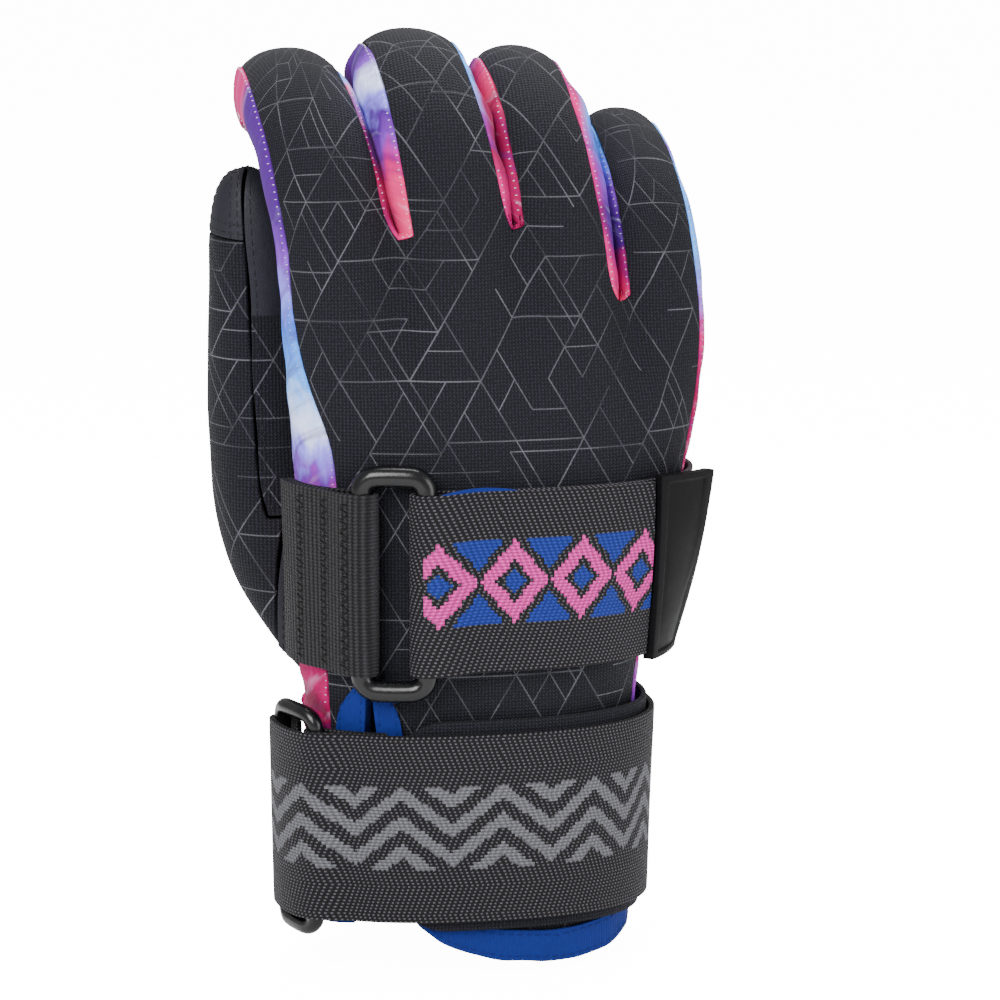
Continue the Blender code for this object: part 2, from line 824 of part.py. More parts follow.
def add_ring(name, across, spacing, height, middle, wire, corner, rise, finish, collection):
    """A rectangular ring of round wire that lies off the skin, its long bars upright."""
    half_across, half_height = spacing / 2, height / 2
    outline = []
    for quarter, (side, end) in enumerate(((1, 1), (-1, 1), (-1, -1), (1, -1))):
        for n in range(5):
            turn = math.radians(90 * quarter + 22.5 * n)
            outline.append(
                (
                    side * (half_across - corner) + corner * math.cos(turn),
                    end * (half_height - corner) + corner * math.sin(turn),
                )
            )
        if quarter in (1, 3):
            outline += [(side * half_across, end * half_height * share) for share in (0.4, -0.4)]
    curve = bpy.data.curves.new(name, "CURVE")
    curve.dimensions = "3D"
    curve.bevel_depth = wire / 2
    curve.bevel_resolution = 2
    spline = curve.splines.new("POLY")
    spline.use_cyclic_u = True
    spline.points.add(len(outline) - 1)
    for point, (place, up) in zip(spline.points, outline):
        point.co = (*on_body(across + place, middle + up, rise), 1)
    made = bpy.data.objects.new(name, curve)
    curve.materials.append(material(finish))
    collection.objects.link(made)
    return made


def hand_strap_sizes():
    low = HAND_STRAP_LOW
    high = HAND_STRAP_LOW + HAND_STRAP_WIDTH
    bar_rise = CLEARANCE + WEBBING + CLEARANCE + HAND_RING_WIRE / 2
    return low, high, bar_rise


def add_hand_strap(collection):
    low, high, bar_rise = hand_strap_sizes()
    middle = (low + high) / 2
    add_ring(
        "hand_ring", HAND_RING_ACROSS, HAND_RING_SPACING, HAND_RING_HEIGHT, middle,
        HAND_RING_WIRE, HAND_RING_CORNER, bar_rise, "plastic", collection,
    )
    under = CLEARANCE + WEBBING / 2
    over = under + WEBBING + CLEARANCE
    bar = HAND_RING_ACROSS + HAND_RING_SPACING / 2
    turn = HAND_RING_WIRE / 2 + CLEARANCE + WEBBING / 2
    end = place_at(HAND_STRAP_END_ANGLE, middle)
    route = run(HAND_STRAP_REACH, bar + 4 * turn, over, over)
    route = [(place, rise + strap_lift(place)) for place, rise in route]
    route += run(bar + 4 * turn, bar, over, bar_rise + turn, step=3 * MM)
    route += fold_round(bar, bar_rise, turn, 1)
    route += run(bar + 2 * MM, end, under, under)
    route.append((end, under))
    add_ribbon("hand_strap", route, WEBBING, low, high, "webbing", collection, levels=6)
    bar = HAND_RING_ACROSS - HAND_RING_SPACING / 2
    turn = HAND_RING_WIRE / 2 + CLEARANCE + ELASTIC / 2
    under = CLEARANCE + ELASTIC / 2
    over = under + ELASTIC + CLEARANCE
    end = place_at(ELASTIC_END_ANGLE, middle)
    route = run(end, bar - 3 * turn, over, over)
    route += run(bar - 3 * turn, bar, over, bar_rise + turn, step=3 * MM)
    route += fold_round(bar, bar_rise, turn, -1)
    route += run(bar - 2 * MM, end, under, under)
    route.append((end, under))
    add_ribbon("hand_elastic", route, ELASTIC, low, high, "elastic", collection)
    add_tab(low, high, collection)


def strap_lift(place):
    """How far the free end of the hand strap and its tab stand off the strap below."""
    reach = HAND_STRAP_REACH + TAB_LENGTH - HAND_STRAP_LIFT_START
    return HAND_STRAP_LIFT * max((place - HAND_STRAP_LIFT_START) / reach, 0) ** 2


def add_tab(low, high, collection):
    """The rubber tab at the end of the hand strap, with a raised border round its face."""
    start = HAND_STRAP_REACH + CLEARANCE
    margin = 1.5 * MM
    under = CLEARANCE + WEBBING + CLEARANCE
    insets = (0, TAB_BORDER, TAB_BORDER + TAB_RELIEF)
    places = [start + inset for inset in insets]
    places += [start + TAB_LENGTH * share for share in (0.35, 0.5, 0.65)]
    places += [start + TAB_LENGTH - inset for inset in reversed(insets)]
    bottom, top = low - margin, high + margin
    heights = [bottom + inset for inset in insets]
    heights += [(bottom + top) / 2]
    heights += [top - inset for inset in reversed(insets)]
    last_column, last_row = len(places) - 1, len(heights) - 1
    vertices = []
    for face in ("outer", "inner"):
        for row, height in enumerate(heights):
            for column, place in enumerate(places):
                edge = min(row, column, last_row - row, last_column - column)
                relief = 0 if edge < 2 else TAB_RELIEF
                rise = under + TAB_THICKNESS - relief if face == "outer" else under
                vertices.append(on_body(place, height, rise + strap_lift(place)))
    across = len(places)
    layer = across * len(heights)
    faces = []
    for row in range(last_row):
        for column in range(last_column):
            a = row * across + column
            quad = [a, a + 1, a + across + 1, a + across]
            faces.append(quad)
            faces.append([n + layer for n in reversed(quad)])
    rim = list(range(last_column))
    rim += [row * across + last_column for row in range(last_row)]
    rim += [last_row * across + column for column in range(last_column, 0, -1)]
    rim += [row * across for row in range(last_row, 0, -1)]
    for n, here in enumerate(rim):
        before = rim[n - 1]
        faces.append([here, before, before + layer, here + layer])
    add_mesh("pull_tab", vertices, faces, "rubber", collection)


def add_wrist_strap(collection):
    """The strap comes round from the palm, passes over the ring and folds round its far bar."""
    low = WRIST_STRAP_LOW
    high = WRIST_STRAP_LOW + WRIST_STRAP_WIDTH
    middle = (low + high) / 2
    centre = place_at(WRIST_RING_ANGLE, middle)
    near_bar = centre + WRIST_RING_SPACING / 2
    far_bar = centre - WRIST_RING_SPACING / 2
    base = CLEARANCE + TAPE + CLEARANCE
    bar_rise = base + WEBBING + CLEARANCE + WRIST_RING_WIRE / 2
    add_ring(
        "wrist_ring", centre, WRIST_RING_SPACING, WRIST_RING_HEIGHT, middle,
        WRIST_RING_WIRE, WRIST_RING_CORNER, bar_rise, "plastic", collection,
    )
    turn = WRIST_RING_WIRE / 2 + CLEARANCE + TAPE / 2
    anchor_end = near_bar + WRIST_ANCHOR_REACH
    upper = base + TAPE + CLEARANCE + TAPE / 2
    route = run(anchor_end, near_bar + 3 * turn, upper, upper)
    route += run(near_bar + 3 * turn, near_bar, upper, bar_rise + turn, step=2.5 * MM)
    route += fold_round(near_bar, bar_rise, turn, 1)
    lower = base + TAPE / 2
    route += run(near_bar + 2 * MM, anchor_end, lower, lower)
    route.append((anchor_end, lower))
    add_ribbon("wrist_anchor", route, TAPE, low, high, "webbing", collection, levels=3)
    pad_start = anchor_end + 1 * MM
    end = place_at(WRIST_STRAP_END_ANGLE, middle)
    pad_rise = base + PAD / 2
    route = run(pad_start, end, pad_rise, pad_rise) + [(end, pad_rise)]
    add_ribbon(
        "wrist_pad", route, PAD, low - WRIST_PAD_MARGIN, high + WRIST_PAD_MARGIN, "knit",
        collection, levels=3,
    )
    over = base + max(PAD, 2 * TAPE + CLEARANCE) + CLEARANCE + WEBBING / 2
    over_ring = bar_rise + turn + TAPE / 2 + CLEARANCE + WEBBING / 2
    turn = WRIST_RING_WIRE / 2 + CLEARANCE + WEBBING / 2
    route = run(end, near_bar + WRIST_ANCHOR_REACH / 2, over, over)
    route += run(near_bar + WRIST_ANCHOR_REACH / 2, near_bar, over, over_ring, step=2.5 * MM)
    route += run(near_bar, far_bar, over_ring, bar_rise + turn, step=2.5 * MM)
    route += fold_round(far_bar, bar_rise, turn, 1)
    lowest = bar_rise - turn
    route += [(far_bar + FOLD_TUCK / 2, lowest), (far_bar + FOLD_TUCK, lowest)]
    add_ribbon("wrist_strap", route, WEBBING, low, high, "webbing", collection, levels=3)


# Cuff binding


# One spot of the shell's edge: the skin's points from there inwards, the wall under them and the
# share of the binding's width that it has there
Spot = namedtuple("Spot", "keys wall reach")
SPOT_POINTS = 4
HEM_CORNER_REACH = 1.15


def hem_spot(side, column, half, wall):
    return Spot([body_key(side, column, row, half) for row in range(SPOT_POINTS)], wall, 1)


def slit_spot(row, half):
    away = -1 if half == "thumb" else 1
    columns = [SLIT_COLUMN + away * n for n in range(SPOT_POINTS)]
    if row == 0:
        keys = [body_key("back", column, n, half) for n, column in enumerate(columns)]
        return Spot(keys, NEOPRENE, HEM_CORNER_REACH)
    return Spot([body_key("back", column, row, half) for column in columns], NEOPRENE, 1)


def binding_spots():
    """The shell's lower edge in order: up and over the slit, and once round the hem."""
    top_keys = [("back", SLIT_COLUMN, SLIT_ROW + n) for n in range(SPOT_POINTS)]
    spots = [Spot(top_keys, NEOPRENE, SLIT_TOP_REACH)]
    spots += [slit_spot(row, "little") for row in range(SLIT_ROW - 1, -1, -1)]
    for column in range(SLIT_COLUMN + 1, LAST_COLUMN + 1):
        spots.append(hem_spot("back", column, "little", NEOPRENE))
    spots.append(Spot([("little_side", row) for row in range(SPOT_POINTS)], STRETCH_CLOTH, 1))
    for column in range(LAST_COLUMN, -1, -1):
        wall = STRETCH_CLOTH if column in (0, LAST_COLUMN) else LEATHER
        spots.append(hem_spot("palm", column, None, wall))
    spots.append(Spot([("thumb_side", row) for row in range(SPOT_POINTS)], STRETCH_CLOTH, 1))
    for column in range(SLIT_COLUMN):
        spots.append(hem_spot("back", column, "thumb", NEOPRENE))
    return spots + [slit_spot(row, "thumb") for row in range(SLIT_ROW)]


def inwards(points, normals, keys, distance):
    """The point and the normal at a distance along a line of the skin's points."""
    for here, there in zip(keys, keys[1:]):
        length = np.linalg.norm(points[there] - points[here])
        if distance <= length or there == keys[-1]:
            share = min(distance / length, 1)
            normal = normals[here] + (normals[there] - normals[here]) * share
            return points[here] + (points[there] - points[here]) * share, normal / np.linalg.norm(normal)
        distance -= length


def add_binding(points, normals, collection):
    """Tape folded over the hem and both edges of the slit, in one loop."""
    sections = []
    for keys, wall, reach in binding_spots():
        edge, normal = inwards(points, normals, keys, 0)
        middle, middle_normal = inwards(points, normals, keys, BINDING_WIDTH * reach / 2)
        far, far_normal = inwards(points, normals, keys, BINDING_WIDTH * reach)
        out = edge - points[keys[1]]
        out -= normal * (out @ normal)
        out /= np.linalg.norm(out)
        near_in, far_in = CLEARANCE, CLEARANCE + TAPE
        sections.append(
            [
                edge + out * near_in + normal * near_in,
                edge + out * near_in - normal * (wall + near_in),
                middle - middle_normal * (wall + near_in),
                far - far_normal * (wall + near_in),
                far - far_normal * (wall + far_in),
                middle - middle_normal * (wall + far_in),
                edge + out * far_in - normal * (wall + far_in),
                edge + out * far_in + normal * far_in,
                middle + middle_normal * far_in,
                far + far_normal * far_in,
                far + far_normal * near_in,
                middle + middle_normal * near_in,
            ]
        )
    add_sweep("cuff_binding", sections, True, "blue_tape", collection)


def main():
    clear_scene()
    collection = make_collection()
    points = skin_points()
    quads = skin_quads()
    normals = skin_normals(points, quads)
    skin = (points, normals, quads)
    for name, wall, finish in (
        ("back_panel", NEOPRENE, "knit"),
        ("palm_panel", LEATHER, "leather"),
        ("radial_gusset", STRETCH_CLOTH, "pink_cloth"),
        ("index_middle_gusset", STRETCH_CLOTH, "pink_cloth"),
        ("middle_ring_gusset", STRETCH_CLOTH, "blue_cloth"),
        ("ring_little_gusset", STRETCH_CLOTH, "pink_cloth"),
        ("ulnar_gusset", STRETCH_CLOTH, "blue_cloth"),
        ("thumb_back", NEOPRENE, "knit"),
        ("thumb_palm", LEATHER, "leather"),
        ("thumb_tip", LEATHER, "leather"),
    ):
        add_panel(name, skin, wall, finish, collection)
    add_binding(points, normals, collection)
    add_hand_strap(collection)
    add_wrist_strap(collection)


main()
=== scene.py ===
"""The looks of a water ski glove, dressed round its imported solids: knit neoprene with a line print,
tie-dyed strips, leather, blue binding, woven straps, moulded rings and a rubber tab."""

import math

import bmesh
import bpy
import numpy as np
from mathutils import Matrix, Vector, noise
from mathutils.bvhtree import BVHTree
from mathutils.kdtree import KDTree


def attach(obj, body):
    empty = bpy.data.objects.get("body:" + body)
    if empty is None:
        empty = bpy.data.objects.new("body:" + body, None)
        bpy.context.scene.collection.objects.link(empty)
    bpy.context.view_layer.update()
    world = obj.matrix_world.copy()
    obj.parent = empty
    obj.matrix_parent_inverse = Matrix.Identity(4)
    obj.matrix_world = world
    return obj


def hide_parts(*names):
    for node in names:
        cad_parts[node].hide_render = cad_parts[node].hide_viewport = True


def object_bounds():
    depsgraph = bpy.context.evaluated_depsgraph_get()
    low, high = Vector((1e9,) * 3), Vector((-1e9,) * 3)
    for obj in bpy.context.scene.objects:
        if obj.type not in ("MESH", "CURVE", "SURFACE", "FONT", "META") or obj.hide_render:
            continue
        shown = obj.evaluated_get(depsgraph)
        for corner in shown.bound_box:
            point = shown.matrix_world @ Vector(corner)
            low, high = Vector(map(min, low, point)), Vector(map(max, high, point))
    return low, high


MM = 0.001
FULL_TURN = 2 * math.pi

# The photograph's view
AZIMUTH = -10
ELEVATION = 12
DISTANCE = 1.2
AIM = (8.9 * MM, 0, 112.4 * MM)
FRAME_WIDTH = 250 * MM
SENSOR = 36

# The stage: the floor and the world are bright to the camera alone, and each light has its place,
# its size and its power
FLOOR_SIZE = 6
FLOOR_DROP = 2.5 * MM
FLOOR_COLOUR = (0.90, 0.90, 0.90)
FLOOR_ROUGHNESS = 0.9
WHITE = (1, 1, 1)
BACKDROP = 14.0
AMBIENT = 0.66
LIGHT_AIM = (0, 0, 0.12)
LIGHTS = {
    "key": ((-0.55, -0.75, 0.75), (0.6, 0.6), 24),
    "fill": ((0.75, -0.55, 0.35), (0.5, 0.7), 8),
    "top": ((0.1, 0.25, 0.95), (0.5, 0.5), 14),
}

# Where the fingers bend and how far their tips hang below the bend, as the solids have it
BEND_BACK = 15.5 * MM
BEND_HEIGHT = 190 * MM
LITTLE_BEND_HEIGHT = 174.4 * MM
LITTLE_FROM = 30 * MM
BACK_RADIUS = 36 * MM
TIP_DROP = 40 * MM

# The strapped hand's section, an oblong whose power rounds it, for the length round it
STRAP_MIDDLE = 4 * MM
STRAP_HALF_WIDTH = 50 * MM
STRAP_HALF_DEPTH = 26 * MM
SECTION_POWER = 0.8
HAND_STRAP_CENTRE = 98.2 * MM
WRIST_STRAP_CENTRE = 36 * MM
PAD_CORNER = 14 * MM

# The shell's flat map: where its sides begin, how they blend in, and how deep they reach
SIDE_FROM = 34 * MM
SIDE_BLEND = 12 * MM
BACK_FACE = 18 * MM
SIDE_DEPTH = 40 * MM
THUMB_AXIS = (-46 * MM, 27 * MM)
THUMB_RADIUS = 13 * MM

# The strips' flat maps in mm: the middle line of each slot between two fingers, from its low to
# its high end as (x, height), the half width of those strips, and the outer strips' depth
SLOTS = {
    "index_middle": ((-18.0, 184.0), (-27.5, 214.0)),
    "middle_ring": ((10.8, 184.0), (1.8, 214.0)),
    "ring_little": ((36.0, 164.0), (28.8, 205.0)),
}
SLOT_HALF_WIDTH = 9
OUTER_MIDDLE = 6
OUTER_HALF_WIDTH = 15

# Soft hollows and swells: depth or height, size and seed of the noise that shapes them
SHELL_CRUMPLE = (0.45 * MM, 17 * MM, 3.0)
STRIP_CRUMPLE = (0.5 * MM, 9 * MM, 11.0)
TAPE_CRUMPLE = (0.25 * MM, 6 * MM, 7.0)
SLOT_SWELL = (1.7 * MM, 11 * MM, 5.0)
OUTER_SWELL = (0.4 * MM, 11 * MM, 5.0)
RING_SWELL = (0.7 * MM, 1.0, 0.0)
# Share of the swell that is left on the back's own seam, and how far from it the swell is full
SEAM_SWELL = 0.2
SWELL_REACH = 6 * MM
# Folds of the strip at the thumb's side: depth, size, lowest and highest place
STRIP_FOLDS = (1.5 * MM, 6 * MM, 46 * MM, 90 * MM)
FOLD_SLANT = 0.8
FOLD_LENGTH = 4

# Lines through the palm, the fingers and the thumb, from which the outside faces away, in mm
BONES = {
    "index": (
        (-32, -4, 160), (-36, -6, 190), (-41, 0, 208),
        (-41, 16, 214), (-39, 32, 206), (-38, 40, 190),
    ),
    "middle": (
        (-4, -6, 160), (-6, -8, 194), (-11, 0, 211),
        (-12, 16, 218), (-10, 32, 210), (-9, 42, 190),
    ),
    "ring": (
        (24, -6, 160), (22, -7, 190), (16, 0, 208),
        (15, 16, 214), (17, 32, 206), (18, 40, 190),
    ),
    "little": (
        (47, -2, 150), (46, -4, 174), (43, 2, 191),
        (42, 18, 198), (44, 32, 190), (45, 40, 178),
    ),
    "thumb": ((-36, 20, 92), (-43, 26, 110), (-46, 28, 140), (-49, 26, 165), (-50, 25, 188)),
}
BONE_STEPS = 5
PALM_ACROSS = (-26, -14, 0, 14, 26)
PALM_HEIGHTS = range(4, 160, 8)
PALM_SPREAD = 0.0022
PALM_SLANT = 0.03

# Cloth, thread and moulding colours, as linear red, green and blue
INK = (0.0012, 0.0012, 0.0022)
PRINT_GREY = (0.095, 0.095, 0.110)
LEATHER_INK = (0.0042, 0.0042, 0.0072)
# The straps' black, which also serves as painted shade between their threads, then their grey thread,
# strongest on each float's top as a painted highlight
WEB_DARK = (0.0018, 0.0017, 0.0024)
WEB_GREY_THREAD_AND_HIGHLIGHT = (0.080, 0.073, 0.086)
# The elastic's painted highlight on its raised ribs; in its grooves it is painted darker towards the
# straps' black, as painted shade
ELASTIC_RIB_HIGHLIGHT = (0.045, 0.043, 0.050)
RUBBER_INK = (0.0012, 0.0012, 0.0015)
PLASTIC_INK = (0.0018, 0.0018, 0.0022)
PINK = (0.46, 0.001, 0.12)
CRIMSON = (0.21, 0.0002, 0.045)
SALMON = (0.64, 0.022, 0.12)
PURPLE = (0.048, 0.004, 0.15)
VIOLET = (0.15, 0.028, 0.38)
SKY = (0.075, 0.30, 0.82)
PERIWINKLE = (0.19, 0.17, 0.72)
DEEP_SKY = (0.03, 0.13, 0.62)
PALE = (0.55, 0.62, 0.88)
PLUM = (0.060, 0.004, 0.110)
BLUE = (0.0003, 0.0065, 0.075)
BLUE_FIBRE = (0.006, 0.035, 0.34)
WOVEN_PINK = (0.66, 0.035, 0.31)
WOVEN_BLUE = (0.003, 0.022, 0.23)
WOVEN_GREY = (0.125, 0.125, 0.140)
THREADS = {
    "white": (0.55, 0.50, 0.58),
    "dark": (0.010, 0.010, 0.012),
    "black": (0.0012, 0.0012, 0.0015),
    "blue": (0.001, 0.008, 0.10),
}
CLOTH_SHEEN = 0.02
SHEEN_ROUGHNESS = 0.45
CLOTH_GLOSS = 0.16
LEATHER_GLOSS = 0.22
LEATHER_ROUGHNESS = (0.48, 0.66)
THREAD_ROUGHNESS = 0.6
# Roughness where a moulding is worn least and most, scale of its grain, and gloss
PLASTIC_FINISH = ((0.20, 0.32), 0.8, 0.28)
RUBBER_FINISH = ((0.5, 0.66), 2.0, 0.08)
# The range that the mask of soft patches fills
PATCHES = (0.3, 0.7)

# The line print: side of the triangles and width of the lines in mm, share of the lines that is
# kept, and shift of each lattice, then the share of its level lines that is kept beside the others
LATTICES = (
    (17.0, 0.22, 0.80, (0.0, 0.0)),
    (8.5, 0.18, 0.34, (0.0, 0.0)),
    (17.0, 0.18, 0.38, (1.6, 2.7)),
)
LEVEL_SHARE = 0.45
LINE_SOFTNESS = 0.6
# The printed look on the thumb's front ends at this height, and where the thumb turns away
THUMB_PRINT_TOP = 160 * MM
THUMB_PRINT_TURN = 0.55

# Knits, twill and woven figures, in mm
NEOPRENE_PITCH = 0.85
STRIP_PITCH = 0.8
TAPE_PITCH = 0.7
RIB_PITCH = 1.5
CORD_PITCH = 0.9
THREAD_PITCH = 1.15
ROW_SHARE = 0.72
TWILL_STEP = 0.25
HERRINGBONE_ROWS = 9.0
STRAIGHT_ROWS = 1000.0
FIGURE_STEP = (0.75, 0.85)
DIAMOND_LENGTH = 15.0
DIAMOND_HALF_HEIGHT = 10.6
DIAMOND_SHIFT = 20.2
DIAMONDS_FROM = -15.0
DIAMOND_RING = (0.52, 0.98)
DIAMOND_HEART = 0.30
DIAMOND_CORNER = 0.72
ZIGZAG_LENGTH = 11.0
ZIGZAG_SLOPE = 0.9
ZIGZAG_PITCH = 7.4
ZIGZAG_SHARE = 0.48
ZIGZAG_HALF_HEIGHT = 10.8

# How far the dye drifts along a strip in clouds and in streaks, in mm
DYE_DRIFT = 22.0
DYE_STREAK = 12.0
# The tie-dye along each strip: a height in mm and the colours on its thumb side and its other side
DYES = {
    "radial": (
        (0, PINK, PINK), (62, CRIMSON, PINK), (84, PINK, CRIMSON), (112, PINK, VIOLET),
        (122, VIOLET, PINK), (129, PERIWINKLE, PALE), (136, PALE, SKY), (146, SKY, SKY),
        (160, DEEP_SKY, SKY), (168, PERIWINKLE, SKY), (177, VIOLET, PERIWINKLE),
        (186, PURPLE, VIOLET), (216, PURPLE, PURPLE), (226, PURPLE, PINK), (250, PURPLE, PINK),
    ),
    "index_middle": (
        (180, PINK, SALMON), (190, CRIMSON, SALMON), (200, CRIMSON, PINK), (207, CRIMSON, VIOLET),
        (214, CRIMSON, PURPLE), (221, CRIMSON, PERIWINKLE), (228, PINK, PALE), (234, SKY, VIOLET),
        (240, PURPLE, PURPLE), (250, PINK, PURPLE), (270, PINK, PURPLE),
    ),
    "middle_ring": (
        (180, CRIMSON, CRIMSON), (192, PINK, CRIMSON), (203, CRIMSON, CRIMSON),
        (211, VIOLET, CRIMSON), (219, SKY, CRIMSON), (230, SKY, SALMON), (240, SKY, PINK),
        (262, PERIWINKLE, PURPLE),
    ),
    "ring_little": (
        (163, SALMON, SALMON), (171, PINK, PINK), (179, PINK, PURPLE), (188, CRIMSON, PURPLE),
        (198, PINK, VIOLET), (208, PINK, DEEP_SKY), (222, PINK, SKY), (250, PURPLE, SKY),
    ),
    "ulnar": (
        (0, PURPLE, PURPLE), (62, VIOLET, PURPLE), (84, PINK, PINK), (112, PINK, CRIMSON),
        (140, CRIMSON, PINK), (156, PINK, VIOLET), (165, PERIWINKLE, SKY), (176, SKY, DEEP_SKY),
        (200, SKY, SKY), (215, VIOLET, SKY), (250, SKY, SKY),
    ),
}

# The blue edge of the hand strap's lining: its run across, what shows above the webbing, how far
# its ends dip, how far down and how deep behind the webbing it lies, and the search for that edge
LINING_ACROSS = (-12 * MM, 9 * MM)
LINING_ROWS = 24
LINING_SHOWS = 1.4 * MM
LINING_DIP = 0.3 * MM
LINING_COVERED = 3 * MM
LINING_BEHIND = 1.0 * MM
LINING_WALL = 0.6 * MM
WEBBING_ROLL = 2 * MM
SEARCH_ABOVE = 30 * MM
SEARCH_STEP = 0.2 * MM

# Seams: the least angle of a sheet's edge, and how its two faces look out of or into the hand
SEAM_ANGLE = math.radians(55)
SHEET_LOOKS = 0.35
RIM_LOOKS = -0.5
SPOT_REACH = 2.5 * MM
RAY_FROM = -80 * MM
# Length and thickness of each kind of stitch
STRIP_STITCH = (0.6 * MM, 0.26 * MM)
LEATHER_STITCH = (1.9 * MM, 0.4 * MM)
BINDING_STITCH = (1.7 * MM, 0.4 * MM)
ELASTIC_STITCH = (2.9 * MM, 0.65 * MM)
# Each seam's distance in from the edge, and the step from stitch to stitch
STRIP_SEAM = (0.3 * MM, 1.8 * MM)
STRIP_SEAM_FROM = 66 * MM
CAP_SEAMS = ((1.4 * MM, 2.6 * MM), (3.6 * MM, 2.6 * MM))
LEATHER_SEAM = (1.6 * MM, 2.6 * MM)
BINDING_SEAM = (1.2 * MM, 2.4 * MM)
# The zigzag seams over the elastic: their places, their ends, and the width and step of a zigzag
ELASTIC_SEAMS = (-43.5 * MM, -38.5 * MM, -34.5 * MM)
ELASTIC_ENDS = (77 * MM, 119.5 * MM)
ELASTIC_ZIGZAG = (2.2 * MM, 1.5 * MM)


def deselect_all():
    for chosen in list(bpy.context.selected_objects):
        chosen.select_set(False)


def make_active(piece):
    deselect_all()
    piece.select_set(True)
    bpy.context.view_layer.objects.active = piece


# Materials


class Nodes:
    """Builds one node tree: adds nodes, sums and colours, and links them."""

    def __init__(self, tree):
        self.tree = tree

    def add(self, kind, inputs=None, **settings):
        node = self.tree.nodes.new(kind)
        for setting, value in settings.items():
            setattr(node, setting, value)
        for socket, value in (inputs or {}).items():
            self.feed(node.inputs[socket], value)
        return node

    def feed(self, socket, value):
        if isinstance(value, bpy.types.NodeSocket):
            self.tree.links.new(value, socket)
        elif isinstance(value, tuple) and len(value) == 3 and socket.type == "RGBA":
            socket.default_value = (*value, 1)
        else:
            socket.default_value = value

    def sum(self, operation, *values):
        node = self.add("ShaderNodeMath", operation=operation)
        for socket, value in zip(node.inputs, values):
            self.feed(socket, value)
        return node.outputs[0]

    def plus(self, first, second):
        return self.sum("ADD", first, second)

    def minus(self, first, second):
        return self.sum("SUBTRACT", first, second)

    def times(self, first, second):
        return self.sum("MULTIPLY", first, second)

    def over(self, first, second):
        return self.sum("DIVIDE", first, second)

    def mix(self, share, first, second):
        """A mix of two colours, which a Mix node has at sockets 6 and 7 and gives at 2."""
        inputs = {0: share, 6: first, 7: second}
        return self.add("ShaderNodeMix", data_type="RGBA", inputs=inputs).outputs[2]

    def remap(self, value, start, end=(0.0, 1.0)):
        """The value's place in the first range, laid over the second."""
        inputs = dict(enumerate((value, *start, *end)))
        return self.add("ShaderNodeMapRange", inputs).outputs[0]

    def clamp(self, value):
        return self.add("ShaderNodeClamp", {"Value": value}).outputs[0]

    def swing(self, value, reach):
        """The value's distance from a half, times a reach."""
        return self.times(self.minus(value, 0.5), reach)

    def band(self, value, half_width, softness):
        """1 where the value is within half a width of 0, with a soft edge."""
        reach = self.minus(half_width + softness, self.sum("ABSOLUTE", value))
        return self.clamp(self.over(reach, softness))

    def noise(self, vector, scale, detail=3.0, roughness=0.55, distortion=0.0):
        inputs = {"Vector": vector, "Scale": scale, "Detail": detail, "Roughness": roughness}
        inputs["Distortion"] = distortion
        return self.add("ShaderNodeTexNoise", inputs).outputs["Fac"]

    def ramp(self, value, stops):
        node = self.add("ShaderNodeValToRGB", {"Fac": value})
        elements = node.color_ramp.elements
        for place, _ in stops[2:]:
            elements.new(place)
        for element, (place, colour) in zip(elements, sorted(stops)):
            element.position = place
            element.color = (*colour, 1)
        return node.outputs["Color"]

    def flat_map(self):
        return self.add("ShaderNodeUVMap", uv_map="flat").outputs["UV"]

    def split(self, vector):
        return self.add("ShaderNodeSeparateXYZ", {"Vector": vector}).outputs

    def join(self, x, y, z=0.0):
        return self.add("ShaderNodeCombineXYZ", {"X": x, "Y": y, "Z": z}).outputs[0]

    def bump(self, shader, height, strength, distance):
        """Raises the shader's surface by the height."""
        inputs = {"Height": height, "Strength": strength, "Distance": distance}
        self.feed(shader.inputs["Normal"], self.add("ShaderNodeBump", inputs).outputs[0])

    def use(self, group, **inputs):
        node = self.tree.nodes.new("ShaderNodeGroup")
        node.node_tree = group
        for socket, value in inputs.items():
            self.feed(node.inputs[socket.replace("_", " ")], value)
        return node.outputs


def make_group(name, inputs, outputs):
    """A shader node group with named sockets, and its builder, input sockets and output node."""
    tree = bpy.data.node_groups.new(name, "ShaderNodeTree")
    for socket, kind in inputs:
        tree.interface.new_socket(socket, in_out="INPUT", socket_type="NodeSocket" + kind)
    for socket, kind in outputs:
        tree.interface.new_socket(socket, in_out="OUTPUT", socket_type="NodeSocket" + kind)
    nodes = Nodes(tree)
    return tree, nodes, nodes.add("NodeGroupInput").outputs, nodes.add("NodeGroupOutput").inputs


def line_family(nodes, place, turn, side, width, keep, seed):
    """One direction of a triangle lattice: a mask of the segments that a chance keeps."""
    spacing = side * math.sqrt(3) / 2

    def dot(way_x, way_y):
        x, y = place
        return nodes.plus(nodes.times(x, way_x), nodes.times(y, way_y))

    rows = nodes.over(dot(-math.sin(turn), math.cos(turn)), spacing)
    row = nodes.sum("ROUND", rows)
    away = nodes.times(nodes.minus(rows, row), spacing)
    along = nodes.over(dot(math.cos(turn), math.sin(turn)), side)
    steps = nodes.minus(along, nodes.times(row, 0.5))
    cell = nodes.join(row, nodes.sum("FLOOR", steps), seed)
    draw = nodes.add("ShaderNodeTexWhiteNoise", {"Vector": cell}, noise_dimensions="3D")
    chance = draw.outputs[0]
    kept = nodes.sum("LESS_THAN", chance, keep)
    line = nodes.band(away, width / 2, width * LINE_SOFTNESS)
    strength = nodes.times(kept, nodes.plus(chance, 1 - keep))
    return nodes.times(line, strength)


